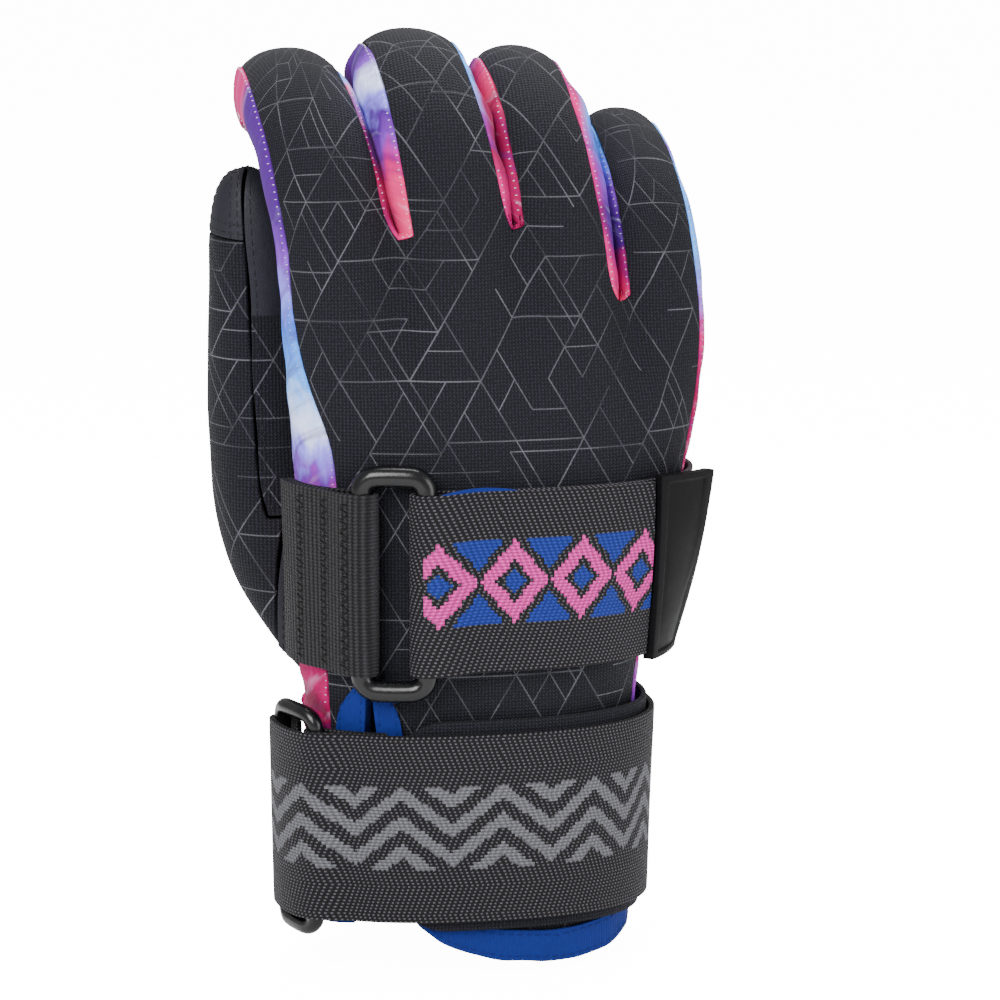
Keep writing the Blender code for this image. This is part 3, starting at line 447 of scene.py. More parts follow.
def triangle_lines_group():
    """Thin lines of a triangle lattice with gaps, with finer and nested lines between them."""
    made = make_group("triangle_lines", [("Vector", "Vector")], [("Mask", "Float")])
    tree, nodes, given, out = made
    x, y, _ = nodes.split(given["Vector"])
    total = None
    for level, (side, width, keep, shift) in enumerate(LATTICES):
        place = (nodes.plus(x, shift[0]), nodes.plus(y, shift[1]))
        for third in range(3):
            seed = 3.0 * level + third + 0.5
            turn = math.radians(60 * third)
            share = keep * (LEVEL_SHARE if third == 0 else 1)
            line = line_family(nodes, place, turn, side, width, share, seed)
            total = line if total is None else nodes.sum("MAXIMUM", total, line)
    nodes.feed(out["Mask"], total)
    return tree


def knit_group():
    """The height of a fine jersey knit, from a place in mm."""
    inputs = [("Vector", "Vector"), ("Pitch", "Float")]
    tree, nodes, given, out = make_group("fine_knit", inputs, [("Height", "Float")])
    x, y, _ = nodes.split(given["Vector"])
    across = nodes.over(x, given["Pitch"])
    up = nodes.over(y, given["Pitch"])
    lean = nodes.times(nodes.sum("PINGPONG", across, 0.5), 0.9)
    rib = nodes.sum("SINE", nodes.times(across, FULL_TURN))
    stitch = nodes.sum("SINE", nodes.times(nodes.plus(up, lean), FULL_TURN))
    fuzz = nodes.noise(given["Vector"], 1.6, 2.0)
    height = nodes.plus(nodes.times(rib, 0.35), nodes.times(stitch, 0.35))
    nodes.feed(out["Height"], nodes.plus(height, nodes.times(fuzz, 1.6)))
    return tree


def weave_group():
    """Twill of a strap, from its length and height in mm: the mask of light threads, strongest on
    each float's top as a painted highlight, and height.
    """
    inputs = [("Vector", "Vector"), ("Thread", "Float"), ("Turn Every", "Float")]
    outputs = [("Light", "Float"), ("Height", "Float")]
    tree, nodes, given, out = make_group("twill_weave", inputs, outputs)
    x, y, _ = nodes.split(given["Vector"])
    rows = nodes.over(y, nodes.times(given["Thread"], ROW_SHARE))
    turned = nodes.sum("PINGPONG", nodes.sum("FLOOR", rows), given["Turn Every"])
    turned = nodes.times(turned, TWILL_STEP)
    columns = nodes.plus(nodes.over(x, given["Thread"]), turned)
    in_column = nodes.minus(nodes.sum("FRACT", columns), 0.5)
    in_row = nodes.minus(nodes.sum("FRACT", rows), 0.5)
    # The light threads' mask peaks on each float's top, partly grey thread and partly painted
    # highlight, and leaves painted shade between the floats.
    over = nodes.times(nodes.band(in_column, 0.14, 0.12), nodes.band(in_row, 0.17, 0.16))
    roll = nodes.sum("COSINE", nodes.times(in_row, FULL_TURN))
    wave = nodes.sum("COSINE", nodes.times(in_column, FULL_TURN))
    nodes.feed(out["Light"], over)
    nodes.feed(out["Height"], nodes.times(nodes.plus(roll, wave), 0.5))
    return tree


def wear_group():
    """Soft patches over a surface, from a place in mm: a mask round a half."""
    made = make_group("soft_patches", [("Vector", "Vector")], [("Mask", "Float")])
    tree, nodes, given, out = made
    wide = nodes.times(nodes.noise(given["Vector"], 0.05, 3.0), 0.65)
    fine = nodes.times(nodes.noise(given["Vector"], 0.6, 3.0), 0.35)
    nodes.feed(out["Mask"], nodes.plus(wide, fine))
    return tree


def new_material(name):
    """A material, its builder and its shader."""
    made = bpy.data.materials.new(name)
    made.use_nodes = True
    nodes = Nodes(made.node_tree)
    return made, nodes, made.node_tree.nodes["Principled BSDF"]


def place_in_mm(nodes):
    """Object coordinates in mm."""
    place = nodes.add("ShaderNodeTexCoord").outputs["Object"]
    inputs = {0: place, "Scale": 1 / MM}
    return nodes.add("ShaderNodeVectorMath", inputs, operation="SCALE").outputs[0]


def tint(colour, factor):
    return tuple(factor * part for part in colour)


def patched_material(groups, name):
    """A material as new_material gives it, then a place in mm and the mask of soft patches."""
    made, nodes, shader = new_material(name)
    place = place_in_mm(nodes)
    return made, nodes, shader, place, nodes.use(groups["patches"], Vector=place)["Mask"]


def finish_cloth(nodes, shader, height, strength, distance, roughness):
    """Bump, roughness and a cloth's sheen."""
    nodes.bump(shader, height, strength, distance)
    shader.inputs["Roughness"].default_value = roughness
    shader.inputs["Sheen Weight"].default_value = CLOTH_SHEEN
    shader.inputs["Sheen Roughness"].default_value = SHEEN_ROUGHNESS
    shader.inputs["Specular IOR Level"].default_value = CLOTH_GLOSS


def wear(nodes, shader, patches, colour, lighter, roughness):
    """Soft patches of a lighter colour and another roughness."""
    nodes.feed(shader.inputs["Base Color"], nodes.mix(patches, colour, tint(colour, lighter)))
    nodes.feed(shader.inputs["Roughness"], nodes.remap(patches, PATCHES, roughness))


def knit_material(groups, name, printed):
    """Black neoprene with a fine knit face, painted lighter where the knit rises and darker in its
    hollows as painted highlight and shade, and a thin grey line print where it is printed.
    """
    made, nodes, shader, _, patches = patched_material(groups, name)
    flat = nodes.flat_map()
    height = nodes.use(groups["knit"], Vector=flat, Pitch=NEOPRENE_PITCH)["Height"]
    # Painted highlight and shade, with fibre tone: the colour follows the knit's height, lighter on
    # the raised loops and fuzz, darkest in the hollows between them.
    colour = nodes.mix(nodes.remap(height, (0.80, 1.50)), INK, tint(INK, 11.0))
    colour = nodes.mix(nodes.times(patches, 0.35), colour, tint(INK, 3.0))
    if printed:
        lines = nodes.use(groups["lines"], Vector=flat)["Mask"]
        fade = nodes.remap(nodes.noise(flat, 0.045, 2.0), (0.36, 0.62), (0.25, 1.0))
        rubbed = nodes.remap(nodes.noise(flat, 1.9, 2.0, 0.7), (0.3, 0.6), (0.55, 1.0))
        shown = nodes.times(nodes.times(lines, fade), rubbed)
        colour = nodes.mix(shown, colour, PRINT_GREY)
        height = nodes.plus(height, nodes.times(shown, 0.8))
    nodes.feed(shader.inputs["Base Color"], colour)
    finish_cloth(nodes, shader, height, 0.6, 0.3 * MM, 0.8)
    return made


def leather_material(groups):
    """Smooth matt leather with a fine grain."""
    made, nodes, shader, place, patches = patched_material(groups, "palm_leather_grain")
    inputs = {"Vector": place, "Scale": 1.5}
    cells = nodes.add("ShaderNodeTexVoronoi", inputs, feature="DISTANCE_TO_EDGE")
    grain = nodes.sum("MINIMUM", cells.outputs["Distance"], 0.22)
    grain = nodes.times(grain, 1.2)
    creases = nodes.times(nodes.noise(place, 0.35, 4.0), 0.8)
    wear(nodes, shader, patches, LEATHER_INK, 1.9, LEATHER_ROUGHNESS)
    shader.inputs["Specular IOR Level"].default_value = LEATHER_GLOSS
    nodes.bump(shader, nodes.plus(grain, creases), 0.5, 0.3 * MM)
    return made


def dye_material(groups, name):
    """Soft cloth with tie-dyed clouds that run along the strip."""
    made, nodes, shader = new_material("tie_dye_" + name)
    across, along, _ = nodes.split(nodes.flat_map())
    place = place_in_mm(nodes)
    drift = nodes.noise(place, 0.075, 2.5, distortion=1.2)
    far_along = nodes.times(along, 0.05)
    streaks = nodes.noise(nodes.join(nodes.times(across, 1.6), far_along), 1.0, 3.0)
    shift = nodes.plus(nodes.swing(drift, DYE_DRIFT), nodes.swing(streaks, DYE_STREAK))
    rows = DYES[name]
    low, length = float(rows[0][0]), float(rows[-1][0] - rows[0][0])
    height = nodes.minus(nodes.plus(along, shift), low)
    share = nodes.over(height, length)
    sides = [
        nodes.ramp(share, [((row[0] - low) / length, row[side]) for row in rows]) for side in (1, 2)
    ]
    lean = nodes.plus(nodes.times(across, 3.0), 0.5)
    lean = nodes.plus(lean, nodes.swing(streaks, 0.8))
    colour = nodes.mix(nodes.clamp(lean), *sides)
    slanted = nodes.join(nodes.sum("MULTIPLY_ADD", along, 0.10, across), far_along)
    flow = nodes.noise(slanted, 1.0, 3.0, distortion=1.5)
    deep = nodes.times(nodes.remap(flow, (0.50, 0.68)), 0.55)
    colour = nodes.mix(deep, colour, PLUM)
    bright = nodes.times(nodes.remap(flow, (0.42, 0.30)), 0.16)
    nodes.feed(shader.inputs["Base Color"], nodes.mix(bright, colour, PALE))
    knit = nodes.use(groups["knit"], Vector=place, Pitch=STRIP_PITCH)["Height"]
    finish_cloth(nodes, shader, knit, 0.35, 0.15 * MM, 0.85)
    return made


def tape_material(groups):
    """Blue folded tape with a fine rib."""
    made, nodes, shader, place, patches = patched_material(groups, "blue_tape_weave")
    fibre = nodes.times(nodes.noise(place, 2.2, 2.0, 0.7), 0.25)
    colour = nodes.mix(patches, tint(BLUE, 0.62), tint(BLUE, 1.25))
    nodes.feed(shader.inputs["Base Color"], nodes.mix(fibre, colour, BLUE_FIBRE))
    knit = nodes.use(groups["knit"], Vector=place, Pitch=TAPE_PITCH)["Height"]
    finish_cloth(nodes, shader, knit, 0.4, 0.18 * MM, 0.8)
    return made


def stepped(nodes, value, step):
    """A value in whole threads, as a woven picture has it."""
    return nodes.times(nodes.sum("FLOOR", nodes.over(value, step)), step)


def diamond_masks(nodes, x, y):
    """A row of woven diamonds: pink rings, and small blue ones between and within them."""
    turn = nodes.over(nodes.plus(x, DIAMOND_SHIFT), DIAMOND_LENGTH)
    from_middle = nodes.minus(nodes.sum("FRACT", turn), 0.5)
    slope = nodes.times(nodes.sum("ABSOLUTE", from_middle), 2.0)
    tall = nodes.over(nodes.sum("ABSOLUTE", y), DIAMOND_HALF_HEIGHT)
    reach = nodes.plus(slope, tall)
    within = nodes.sum("LESS_THAN", reach, DIAMOND_RING[1])
    ring = nodes.times(within, nodes.sum("GREATER_THAN", reach, DIAMOND_RING[0]))
    heart = nodes.sum("LESS_THAN", reach, DIAMOND_HEART)
    between = nodes.plus(nodes.minus(1.0, slope), nodes.minus(1.0, tall))
    between = nodes.sum("LESS_THAN", between, DIAMOND_CORNER)
    corner = nodes.times(between, nodes.sum("LESS_THAN", tall, 1.0))
    return ring, nodes.sum("MAXIMUM", heart, corner)


def zigzag_mask(nodes, x, y):
    """Rows of woven zigzags."""
    slope = nodes.times(nodes.sum("PINGPONG", x, ZIGZAG_LENGTH), ZIGZAG_SLOPE)
    rows = nodes.sum("FRACT", nodes.over(nodes.plus(y, slope), ZIGZAG_PITCH))
    inside = nodes.sum("LESS_THAN", nodes.sum("ABSOLUTE", y), ZIGZAG_HALF_HEIGHT)
    return nodes.times(nodes.sum("LESS_THAN", rows, ZIGZAG_SHARE), inside)


def webbing_material(groups, name, figures):
    """Charcoal webbing with lighter grey threads, lightest on each float's top as a painted highlight
    and darker between as painted shade, and a woven row of figures along its middle.
    """
    made, nodes, shader = new_material(name)
    flat = nodes.flat_map()
    x, y, _ = nodes.split(flat)
    turn_every = STRAIGHT_ROWS if figures == "diamonds" else HERRINGBONE_ROWS
    inputs = {"Vector": flat, "Thread": THREAD_PITCH, "Turn_Every": turn_every}
    weave = nodes.use(groups["weave"], **inputs)
    fibre = nodes.plus(nodes.noise(place_in_mm(nodes), 1.3, 3.0, 0.7), 0.25)
    # Grey thread on the floats' tops, partly painted highlight, over black with painted shade between
    # the threads.
    colour = nodes.mix(nodes.times(weave["Light"], fibre), WEB_DARK, WEB_GREY_THREAD_AND_HIGHLIGHT)
    if figures:
        place = [stepped(nodes, value, step) for value, step in zip((x, y), FIGURE_STEP)]
        shade = nodes.plus(nodes.times(weave["Height"], 0.32), 0.62)
        if figures == "diamonds":
            shade = nodes.times(shade, nodes.sum("GREATER_THAN", x, DIAMONDS_FROM))
            shown = list(zip(diamond_masks(nodes, *place), (WOVEN_PINK, WOVEN_BLUE)))
        else:
            shown = [(zigzag_mask(nodes, *place), WOVEN_GREY)]
        for mask, woven in shown:
            colour = nodes.mix(nodes.times(mask, shade), colour, woven)
    nodes.feed(shader.inputs["Base Color"], colour)
    finish_cloth(nodes, shader, weave["Height"], 0.75, 0.35 * MM, 0.72)
    return made


def elastic_material():
    """Black ribbed elastic, painted lighter on its raised ribs and cords and darker in the grooves as
    painted highlight and shade, varied by fibre noise.
    """
    made, nodes, shader = new_material("ribbed_elastic_weave")
    x, y, _ = nodes.split(nodes.flat_map())
    rib = nodes.sum("COSINE", nodes.times(x, FULL_TURN / RIB_PITCH))
    cord = nodes.sum("COSINE", nodes.times(y, FULL_TURN / CORD_PITCH))
    height = nodes.plus(rib, nodes.times(cord, 0.6))
    # Painted highlight and shade: the colour's share follows the ribs' and cords' height, lightest on
    # their tops and darkest in the grooves, times fibre noise.
    share = nodes.plus(nodes.times(height, 0.4), 0.4)
    fibre = nodes.times(share, nodes.noise(place_in_mm(nodes), 1.4, 3.0, 0.7))
    nodes.feed(shader.inputs["Base Color"], nodes.mix(fibre, WEB_DARK, ELASTIC_RIB_HIGHLIGHT))
    finish_cloth(nodes, shader, height, 0.9, 0.5 * MM, 0.7)
    return made


def moulded_material(groups, name, colour, roughness, grain, gloss):
    """Moulded plastic or rubber, with soft patches of wear."""
    made, nodes, shader, place, patches = patched_material(groups, name)
    wear(nodes, shader, patches, colour, 2.0, roughness)
    shader.inputs["Specular IOR Level"].default_value = gloss
    nodes.bump(shader, nodes.noise(place, grain, 2.0), 0.12, 0.2 * MM)
    return made


def thread_material(name, colour):
    """Sewing thread, a little darker here and there."""
    made, nodes, shader = new_material(name)
    fibre = nodes.noise(place_in_mm(nodes), 3.0, 2.0)
    nodes.feed(shader.inputs["Base Color"], nodes.mix(fibre, colour, tint(colour, 0.7)))
    shader.inputs["Roughness"].default_value = THREAD_ROUGHNESS
    shader.inputs["Specular IOR Level"].default_value = CLOTH_GLOSS
    return made


def make_materials():
    groups = {
        "lines": triangle_lines_group(),
        "knit": knit_group(),
        "weave": weave_group(),
        "patches": wear_group(),
    }
    made = {
        "printed knit": knit_material(groups, "printed_knit", True),
        "plain knit": knit_material(groups, "plain_knit", False),
        "leather": leather_material(groups),
        "blue tape": tape_material(groups),
        "hand webbing": webbing_material(groups, "hand_webbing", "diamonds"),
        "wrist webbing": webbing_material(groups, "wrist_webbing", "zigzags"),
        "plain webbing": webbing_material(groups, "plain_webbing", None),
        "elastic": elastic_material(),
        "plastic": moulded_material(groups, "satin_plastic", PLASTIC_INK, *PLASTIC_FINISH),
        "rubber": moulded_material(groups, "moulded_rubber", RUBBER_INK, *RUBBER_FINISH),
    }
    for shade, colour in THREADS.items():
        made[shade + " thread"] = thread_material(shade + "_thread", colour)
    for name in DYES:
        made["dye " + name] = dye_material(groups, name)
    return made


# Forms


def quads_of(node):
    """The node's mesh with its triangles merged to quads, as a bmesh."""
    rough = bmesh.new()
    rough.from_mesh(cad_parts[node].data)
    bmesh.ops.remove_doubles(rough, verts=rough.verts, dist=0.01 * MM)
    bmesh.ops.join_triangles(
        rough,
        faces=rough.faces,
        angle_face_threshold=math.radians(50),
        angle_shape_threshold=math.radians(60),
    )
    rough.normal_update()
    return rough


def apply_modifiers(piece):
    make_active(piece)
    for modifier in list(piece.modifiers):
        bpy.ops.object.modifier_apply(modifier=modifier.name)


def new_piece(name, points, faces):
    """A piece made of points and faces, in the scene."""
    mesh = bpy.data.meshes.new(name)
    mesh.from_pydata(points, [], faces)
    piece = bpy.data.objects.new(name, mesh)
    bpy.context.scene.collection.objects.link(piece)
    return piece


def soft_copy(node, name, rounding, levels, sharp=60):
    """A finer copy of a node, its edges rolled over and its faces subdivided, to stand for it."""
    rough = quads_of(node)
    rough.verts.index_update()
    faces = [[vert.index for vert in face.verts] for face in rough.faces]
    piece = new_piece(name, [tuple(vert.co) for vert in rough.verts], faces)
    rough.free()
    if rounding:
        bevel = piece.modifiers.new("rolled_edges", "BEVEL")
        bevel.width = rounding
        bevel.segments = 2
        bevel.limit_method = "ANGLE"
        bevel.angle_limit = math.radians(sharp)
    smooth = piece.modifiers.new("soft_surface", "SUBSURF")
    smooth.levels = levels
    smooth.render_levels = levels
    apply_modifiers(piece)
    piece.data.shade_smooth()
    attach(piece, "root")
    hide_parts(node)
    return piece


def read_vectors(mesh, kind):
    """A row of three for each vertex: its place, or its normal."""
    values = np.empty(len(mesh.vertices) * 3, np.float32)
    mesh.vertices.foreach_get(kind, values)
    return values.reshape(-1, 3).astype(float)


def read_points(mesh):
    return read_vectors(mesh, "co")


def write_points(mesh, points):
    mesh.vertices.foreach_set("co", points.astype(np.float32).ravel())
    mesh.update()


def soft_noise(points, size, seed):
    """Smooth noise round 0 at each point."""
    return np.array([noise.noise(Vector(point) / size + Vector((seed, 0, 0))) for point in points])


def push_out(piece, points, reach):
    """Moves each point along its normal by its own reach."""
    normals = read_vectors(piece.data, "normal")
    write_points(piece.data, points + normals * reach[:, None])


def crumple(piece, depth, size, seed):
    """Soft hollows and swells along the normals."""
    points = read_points(piece.data)
    push_out(piece, points, soft_noise(points, size, seed) * depth)


def rumple(piece, depth, size, low, high):
    """Slanting folds between two heights."""
    points = read_points(piece.data)
    share = (points[:, 2] - low) / (high - low)
    swell = np.clip(1 - np.abs(2 * share - 1), 0, 0.5) * 2
    slanted = points[:, 2] + FOLD_SLANT * points[:, 0]
    places = np.stack([points[:, 0] / (FOLD_LENGTH * size), np.zeros(len(points)), slanted / size])
    folds = np.array([noise.noise(Vector(place)) for place in places.T])
    push_out(piece, points, 2 * depth * folds * swell)


def puff(piece, depth, size, seed, held=None):
    """Swells outwards along the normals, softly varied, and less near a held surface."""
    points = read_points(piece.data)
    swell = 1 + soft_noise(points, size, seed)
    if held:
        away = np.array([held.find_nearest(Vector(point))[3] for point in points])
        swell *= SEAM_SWELL + (1 - SEAM_SWELL) * np.clip(away / SWELL_REACH, 0, 1)
    push_out(piece, points, depth * swell)


def set_flat(piece, across, along):
    """The piece's flat map: a value across and one along at each of its points."""
    layer = piece.data.uv_layers.new(name="flat")
    corner = np.empty(len(piece.data.loops), np.int32)
    piece.data.loops.foreach_get("vertex_index", corner)
    values = np.stack([across[corner], along[corner]], axis=1).astype(np.float32)
    layer.data.foreach_set("uv", values.ravel())


def finger_length_at(points):
    """The length along the hand at each point: its height, then the arc over the bent fingers."""
    little = points[:, 0] > LITTLE_FROM
    start = np.where(little, LITTLE_BEND_HEIGHT, BEND_HEIGHT)
    above = np.maximum(points[:, 2] - start, 0)
    turn = np.arctan2(above, BEND_BACK - points[:, 1])
    bent = start + BACK_RADIUS * turn
    over = (points[:, 1] > BEND_BACK) & (points[:, 2] > start - TIP_DROP)
    return np.where((above > 0) | over, bent, points[:, 2])


def lay_flat_thumb(piece):
    """Across round the thumb from its front, and straight up, in mm."""
    points = read_points(piece.data)
    turn = np.arctan2(points[:, 0] - THUMB_AXIS[0], THUMB_AXIS[1] - points[:, 1])
    set_flat(piece, turn * THUMB_RADIUS / MM, points[:, 2] / MM)


def lay_flat_shell(piece):
    """Across from the middle of the back, round the sides, and along the hand."""
    points = read_points(piece.data)
    side = np.clip((np.abs(points[:, 0]) - SIDE_FROM) / SIDE_BLEND, 0, 1)
    depth = np.clip(points[:, 1] + BACK_FACE, 0, SIDE_DEPTH) * side
    across = points[:, 0] + np.sign(points[:, 0]) * depth
    set_flat(piece, across / MM, finger_length_at(points) / MM)


def lay_flat_strip(piece, name):
    """Across from the strip's middle, in shares of its half width, and along the hand in mm."""
    points = read_points(piece.data)
    if name in SLOTS:
        (low_x, low_z), (high_x, high_z) = SLOTS[name]
        share = np.clip((points[:, 2] / MM - low_z) / (high_z - low_z), 0, 1)
        across = (points[:, 0] / MM - low_x - (high_x - low_x) * share) / SLOT_HALF_WIDTH
    else:
        across = (points[:, 1] / MM - OUTER_MIDDLE) / OUTER_HALF_WIDTH
    set_flat(piece, across, finger_length_at(points) / MM)


def signed_power(values, power):
    return np.sign(values) * np.abs(values) ** power


def section_table():
    """Angles round the strapped hand and the length along it, from the middle of the back."""
    angles = np.radians(np.arange(-270, 271, 1.0))
    x = STRAP_HALF_WIDTH * signed_power(np.sin(angles), SECTION_POWER)
    y = -STRAP_HALF_DEPTH * signed_power(np.cos(angles), SECTION_POWER)
    lengths = np.concatenate([[0], np.cumsum(np.hypot(np.diff(x), np.diff(y)))])
    return angles, lengths - np.interp(0, angles, lengths)


def lay_flat_strap(piece, centre):
    """Along the strap from the middle of the back, and up from the strap's middle, in mm."""
    points = read_points(piece.data)
    x = signed_power((points[:, 0] - STRAP_MIDDLE) / STRAP_HALF_WIDTH, 1 / SECTION_POWER)
    y = signed_power(-points[:, 1] / STRAP_HALF_DEPTH, 1 / SECTION_POWER)
    angles, lengths = section_table()
    along = np.interp(np.arctan2(x, y), angles, lengths)
    set_flat(piece, along / MM, (points[:, 2] - centre) / MM)


def dress(piece, material):
    piece.data.materials.clear()
    piece.data.materials.append(material)


# Stitches


def bone_points():
    """A search tree of points inside the hand, the fingers and the thumb."""
    made = []
    for height in PALM_HEIGHTS:
        spread = 1 + PALM_SPREAD * height
        made += [(x * spread + PALM_SLANT * height, 0, height) for x in PALM_ACROSS]
    for line in BONES.values():
        for start, end in zip(line, line[1:]):
            shares = [step / BONE_STEPS for step in range(BONE_STEPS + 1)]
            made += [Vector(start).lerp(Vector(end), share) for share in shares]
    tree = KDTree(len(made))
    for index, point in enumerate(made):
        tree.insert(Vector(point) * MM, index)
    tree.balance()
    return tree


def outwardness(face, bones):
    """How far a face looks out of the hand: 1 straight out, -1 straight in."""
    centre = face.calc_center_median()
    nearest, _, _ = bones.find(centre)
    return face.normal.dot((centre - nearest).normalized())


def outer_edges(rough, bones):
    """The edges round a sheet's outside, each with the way into the sheet."""
    found = {}
    for edge in rough.edges:
        if len(edge.link_faces) != 2 or edge.calc_face_angle() < SEAM_ANGLE:
            continue
        looks = [outwardness(face, bones) for face in edge.link_faces]
        if max(looks) < SHEET_LOOKS or min(looks) < RIM_LOOKS:
            continue
        sheet = edge.link_faces[looks.index(max(looks))]
        middle = (edge.verts[0].co + edge.verts[1].co) / 2
        way = edge.verts[1].co - edge.verts[0].co
        inward = sheet.normal.cross(way).normalized()
        if inward.dot(sheet.calc_center_median() - middle) < 0:
            inward = -inward
        found[edge] = inward
    return found


def seam_lines(node, bones):
    """The outer edges of a node as lines of (point, way into the sheet)."""
    rough = quads_of(node)
    found = outer_edges(rough, bones)
    lines = []
    left = set(found)
    while left:
        first = min(left, key=lambda edge: edge.index)
        left.discard(first)
        line = [first.verts[0], first.verts[1]]
        ways = [found[first]]
        for at_end in (True, False):
            while True:
                tip = line[-1] if at_end else line[0]
                nearby = [edge for edge in tip.link_edges if edge in left]
                if not nearby:
                    break
                edge = nearby[0]
                left.discard(edge)
                place = len(line) if at_end else 0
                line.insert(place, edge.other_vert(tip))
                ways.insert(place, found[edge])
        ways.append(ways[-1])
        lines.append([(vert.co.copy(), way.copy()) for vert, way in zip(line, ways)])
    rough.free()
    return lines


def thread_piece():
    """The points and faces of one stitch, one unit long along X: a short rounded thread."""
    deselect_all()
    bpy.ops.mesh.primitive_uv_sphere_add(segments=6, ring_count=4, radius=0.5, location=(0, 0, 0))
    made = bpy.context.object
    made.rotation_euler = (0, math.radians(90), 0)
    make_active(made)
    bpy.ops.object.transform_apply(location=False, rotation=True, scale=False)
    points = read_points(made.data)
    faces = [list(face.vertices) for face in made.data.polygons]
    bpy.data.objects.remove(made)
    return points, faces


def surface_of(piece):
    """A search tree of a piece's faces."""
    mesh = piece.data
    faces = [list(face.vertices) for face in mesh.polygons]
    return BVHTree.FromPolygons([vertex.co for vertex in mesh.vertices], faces)


def front_spot(surface, x, z):
    """The place and normal where a surface faces the front, or None twice."""
    place, normal, _, _ = surface.ray_cast(Vector((x, RAY_FROM, z)), Vector((0, 1, 0)))
    return place, normal


def spots_along(lines, surface, inset, step, across=False, low=-1.0):
    """Spots at even steps along the lines, set in from the seam and laid on the surface."""
    spots = []
    for line in lines:
        carried = step / 2
        for (start, way), (end, _) in zip(line, line[1:]):
            length = (end - start).length
            while carried < length:
                at = start.lerp(end, carried / length) + way * inset
                carried += step
                if at.z < low:
                    continue
                place, normal, _, gap = surface.find_nearest(at)
                if place is None or gap > SPOT_REACH:
                    continue
                spots.append((place, way if across else end - start, normal))
            carried -= length
    return spots


def zigzag_spots(surface, x, ends, zigzag):
    """Spots of a zigzag seam that runs upwards over a surface that faces the front."""
    (low, high), (width, pitch) = ends, zigzag
    spots = []
    for row in range(int((high - low) / pitch)):
        side = 1 if row % 2 else -1
        start, _ = front_spot(surface, x - side * width / 2, low + row * pitch)
        end, _ = front_spot(surface, x + side * width / 2, low + (row + 1) * pitch)
        middle, normal = front_spot(surface, x, low + (row + 0.5) * pitch)
        if None in (start, end, middle):
            continue
        spots.append((middle, end - start, normal))
    return spots


def sew(name, spots, stitch, material, thread):
    """One mesh of stitches: each spot is a point, the thread's way and the surface's normal."""
    length, thickness = stitch
    points, faces = thread
    vertices, polygons = [], []
    for at, along, normal in spots:
        along = (along - normal * along.dot(normal)).normalized()
        side = normal.cross(along)
        turn = np.array([along * length, side * thickness, normal * thickness])
        start = len(vertices)
        vertices += [tuple(vertex) for vertex in points @ turn + np.array(at)]
        polygons += [[start + n for n in face] for face in faces]
    piece = new_piece(name, vertices, polygons)
    piece.data.shade_smooth()
    dress(piece, material)
    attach(piece, "root")


# The stage


def add_floor():
    deselect_all()
    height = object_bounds()[0].z - FLOOR_DROP
    bpy.ops.mesh.primitive_plane_add(size=FLOOR_SIZE, location=(0, 0, height))
    floor = bpy.context.object
    floor.name = "floor"
    made, nodes, shader = new_material("pale_floor")
    nodes.feed(shader.inputs["Base Color"], FLOOR_COLOUR)
    nodes.feed(shader.inputs["Roughness"], FLOOR_ROUGHNESS)
    nodes.feed(shader.inputs["Emission Color"], WHITE)
    seen = nodes.add("ShaderNodeLightPath").outputs["Is Camera Ray"]
    nodes.feed(shader.inputs["Emission Strength"], nodes.times(seen, BACKDROP))
    floor.data.materials.append(made)


def add_area_light(name, place, size, power):
    light = bpy.data.lights.new(name, "AREA")
    light.shape = "RECTANGLE"
    light.size, light.size_y = size
    light.energy = power
    made = bpy.data.objects.new(name, light)
    made.location = place
    made.rotation_euler = (Vector(LIGHT_AIM) - Vector(place)).to_track_quat("-Z", "Y").to_euler()
    bpy.context.scene.collection.objects.link(made)


def add_lights():
    world = bpy.data.worlds.new("studio")
    world.use_nodes = True
    background = world.node_tree.nodes["Background"]
    nodes = Nodes(world.node_tree)
    nodes.feed(background.inputs["Color"], WHITE)
    seen = nodes.add("ShaderNodeLightPath").outputs["Is Camera Ray"]
    strength = nodes.sum("MULTIPLY_ADD", seen, BACKDROP, AMBIENT)
    nodes.feed(background.inputs["Strength"], strength)
    bpy.context.scene.world = world
    for name, (place, size, power) in LIGHTS.items():
        add_area_light(name, place, size, power)


def add_camera():
    turn, lift = math.radians(AZIMUTH), math.radians(ELEVATION)
    back = Vector(
        (math.sin(turn) * math.cos(lift), -math.cos(turn) * math.cos(lift), math.sin(lift))
    )
    data = bpy.data.cameras.new("camera")
    data.sensor_width = SENSOR
    data.lens = SENSOR * DISTANCE / FRAME_WIDTH
    camera = bpy.data.objects.new("camera", data)
    camera.location = Vector(AIM) + back * DISTANCE
    camera.rotation_euler = back.to_track_quat("Z", "Y").to_euler()
    bpy.context.scene.collection.objects.link(camera)
    bpy.context.scene.camera = camera


# The glove


def print_thumb_front(piece, material):
    """The printed knit's look runs on over the front of the thumb's leather, up to a height."""
    mesh = piece.data
    mesh.materials.append(material)
    for face in mesh.polygons:
        if face.center.z < THUMB_PRINT_TOP and face.normal.y < THUMB_PRINT_TURN:
            face.material_index = 1


def round_end(piece, centre, radius):
    """Rounds the corners of a strap's end on the back of the wrist."""
    points = read_points(piece.data)
    front = points[:, 1] < 0
    into = np.clip(points[front, 0].min() + radius - points[:, 0], 0, radius)
    half = np.abs(points[:, 2] - centre).max()
    share = 1 - (radius - np.sqrt(radius**2 - into**2)) / half
    points[:, 2] = np.where(front, centre + (points[:, 2] - centre) * share, points[:, 2])
    write_points(piece.data, points)


